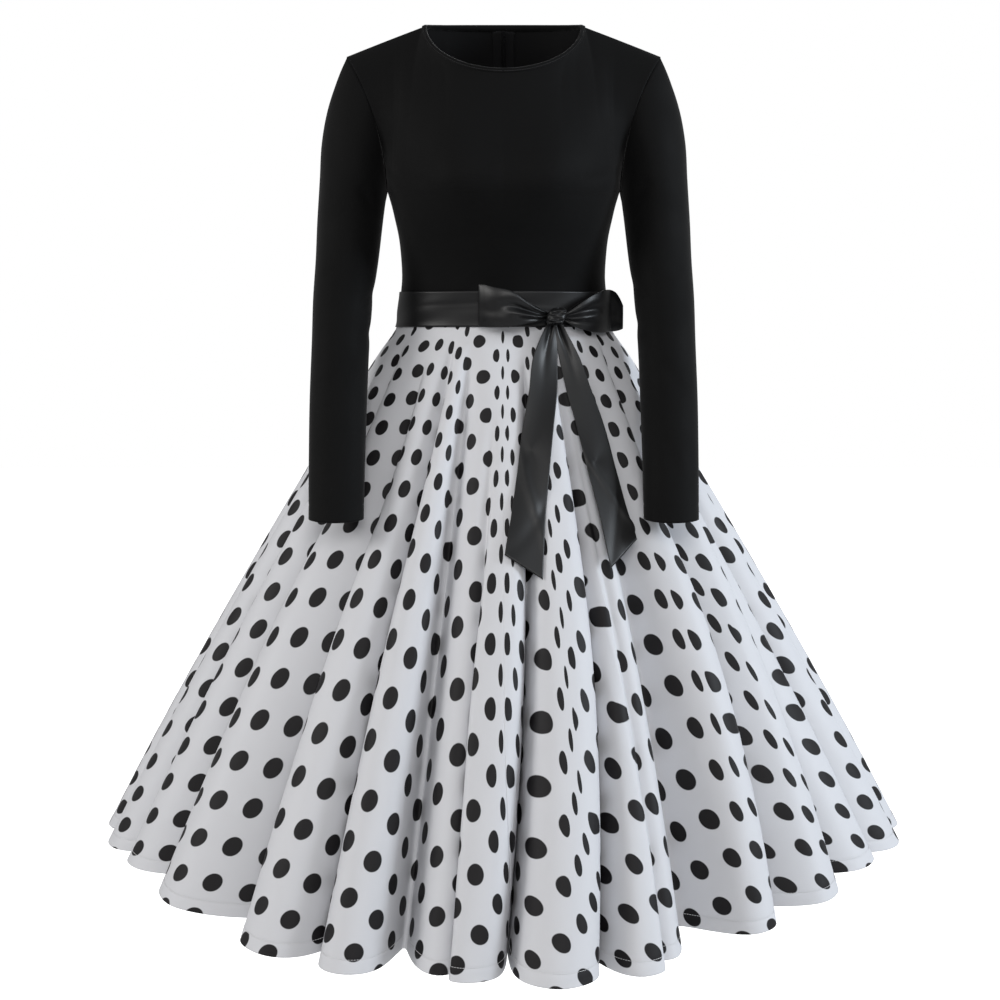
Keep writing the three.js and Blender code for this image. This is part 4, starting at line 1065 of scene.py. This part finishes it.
def add_tail(node, rows, end_slant, middle_fold):
    path = rows_through(rows, 110)
    share = np.linspace(-1, 1, 33)
    down = np.linspace(0, 1, len(path))[:, None]
    x = path[:, 0:1] + share * path[:, 2:3]
    z = path[:, 1:2] + end_slant * share * smooth((down - 0.80) / 0.2)
    level = np.maximum(z, HEM_Z + 1)
    half = profile(SKIRT_SECTIONS, "half_width", np.minimum(level, WAIST_Z))
    angle = np.arcsin(np.clip(x / half, -0.95, 0.95))
    form = oval(SKIRT_SECTIONS, angle, np.minimum(level, WAIST_Z))
    y = form[..., 1] - path[:, 3:4] + share * path[:, 4:5] * path[:, 2:3]
    y += middle_fold * bell(share / 0.3) * bell(down / 0.16) + 1.2 * np.sin(7 * down + 1.5 * share) * down
    y -= 1.6 * bell((down - 0.72 - 0.16 * share) / 0.05) - 1.2 * bell((down - 0.88 + 0.12 * share) / 0.05)
    points = points_of(x, y, z)
    piece = make_mesh(node + "_cloth", points, [satin], thickness=0.0007, offset=0.0)
    finish_piece(piece, node)


add_tail("bow_tail_right", TAIL_RIGHT, -14, 5.0)
add_tail("bow_tail_left", TAIL_LEFT, 14, 4.0)

# %% [markdown]
# ## The zip
# The zip runs down the centre back between the two back panels: a woven tape on each side behind their
# edges, and two rows of moulded teeth that mesh in the gap. The teeth of a row are equal, so one tooth
# is repeated along the centre line into one mesh. The slider and its pull tab stay as CAD made them.

# %% Zip tapes and teeth
ZIP_BOTTOM = -500
TOOTH_PITCH = 1.5  # millimetres between the teeth of one side


def back_line(count):
    """The centre back from just under the binding down to the zip's end, and the way out of it."""
    rises = np.linspace(0.995, 0.0, 60)
    yoke = np.array([yoke_point(np.zeros(1), np.full(1, rise), 1)[0] for rise in rises])
    back = np.array([np.pi])
    bodice_levels = np.linspace(UNDERARM[1] - 4, WAIST_Z, 40)
    bodice = np.array([lower_bodice(back, np.array([z]))[0] for z in bodice_levels])
    skirt = np.array([skirt_point(back, z)[0] for z in np.linspace(WAIST_Z - 4, ZIP_BOTTOM, 40)])
    line = np.concatenate([yoke, bodice, skirt])
    line[:, 0] = 0
    run = np.concatenate([[0], np.cumsum(np.linalg.norm(np.diff(line, axis=0), axis=-1))])
    even = np.linspace(0, run[-1], count)
    line = np.stack([np.interp(even, run, line[:, i]) for i in range(3)], axis=-1)
    along = np.gradient(line, axis=0)
    out = np.stack([np.zeros(count), -along[:, 2], along[:, 1]], axis=-1)
    out /= np.linalg.norm(out, axis=-1, keepdims=True)
    return line, out, run[-1]


def add_tape(node, near, far):
    line, out, length = back_line(160)
    columns = np.linspace(near, far, 9)
    points = line[:, None, :] - out[:, None, :] * 1.9 + np.stack([columns, 0 * columns, 0 * columns], axis=-1)
    piece = make_mesh(node + "_cloth", points, [tape], thickness=0.0007)
    finish_piece(piece, node)
    print(node, "length", round(length))


def add_teeth():
    count = int(back_line(2)[2] / TOOTH_PITCH)
    line, out = back_line(2 * count + 1)[:2]
    along = np.gradient(line, axis=0)
    along /= np.linalg.norm(along, axis=-1, keepdims=True)
    corners = []
    for side in (-1, 1):
        first = 0 if side < 0 else 1
        at, way, run = line[first::2][:count], out[first::2][:count], along[first::2][:count]
        for low, near_high, far_high in ((-1.25, 0.1, -0.7), (-4.1, -2.7, -2.8)):
            for reach, half, high in ((-0.6, 0.42, near_high), (3.0, 0.55, far_high)):
                for level in (low, high):
                    for sign in (-1, 1):
                        corners.append(at + np.array([side * reach, 0, 0]) + way * level + run * half * sign)
    blocks = np.concatenate([np.stack(corners[k:k + 8], axis=1) for k in range(0, len(corners), 8)])
    finish_piece(add_blocks("zip_teeth_rows", blocks, coil), "zip_teeth")
    print("teeth", 2 * count)


add_tape("zip_tape_left", 0.4, 13.5)
add_tape("zip_tape_right", -0.4, -13.5)
add_teeth()
for name in ("zip_slider", "zip_pull_tab"):
    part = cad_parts[name]
    part.data.materials.clear()
    part.data.materials.append(plated)
    soften = part.modifiers.new("soft edges", "BEVEL")
    soften.width = 0.00025
    soften.segments = 2
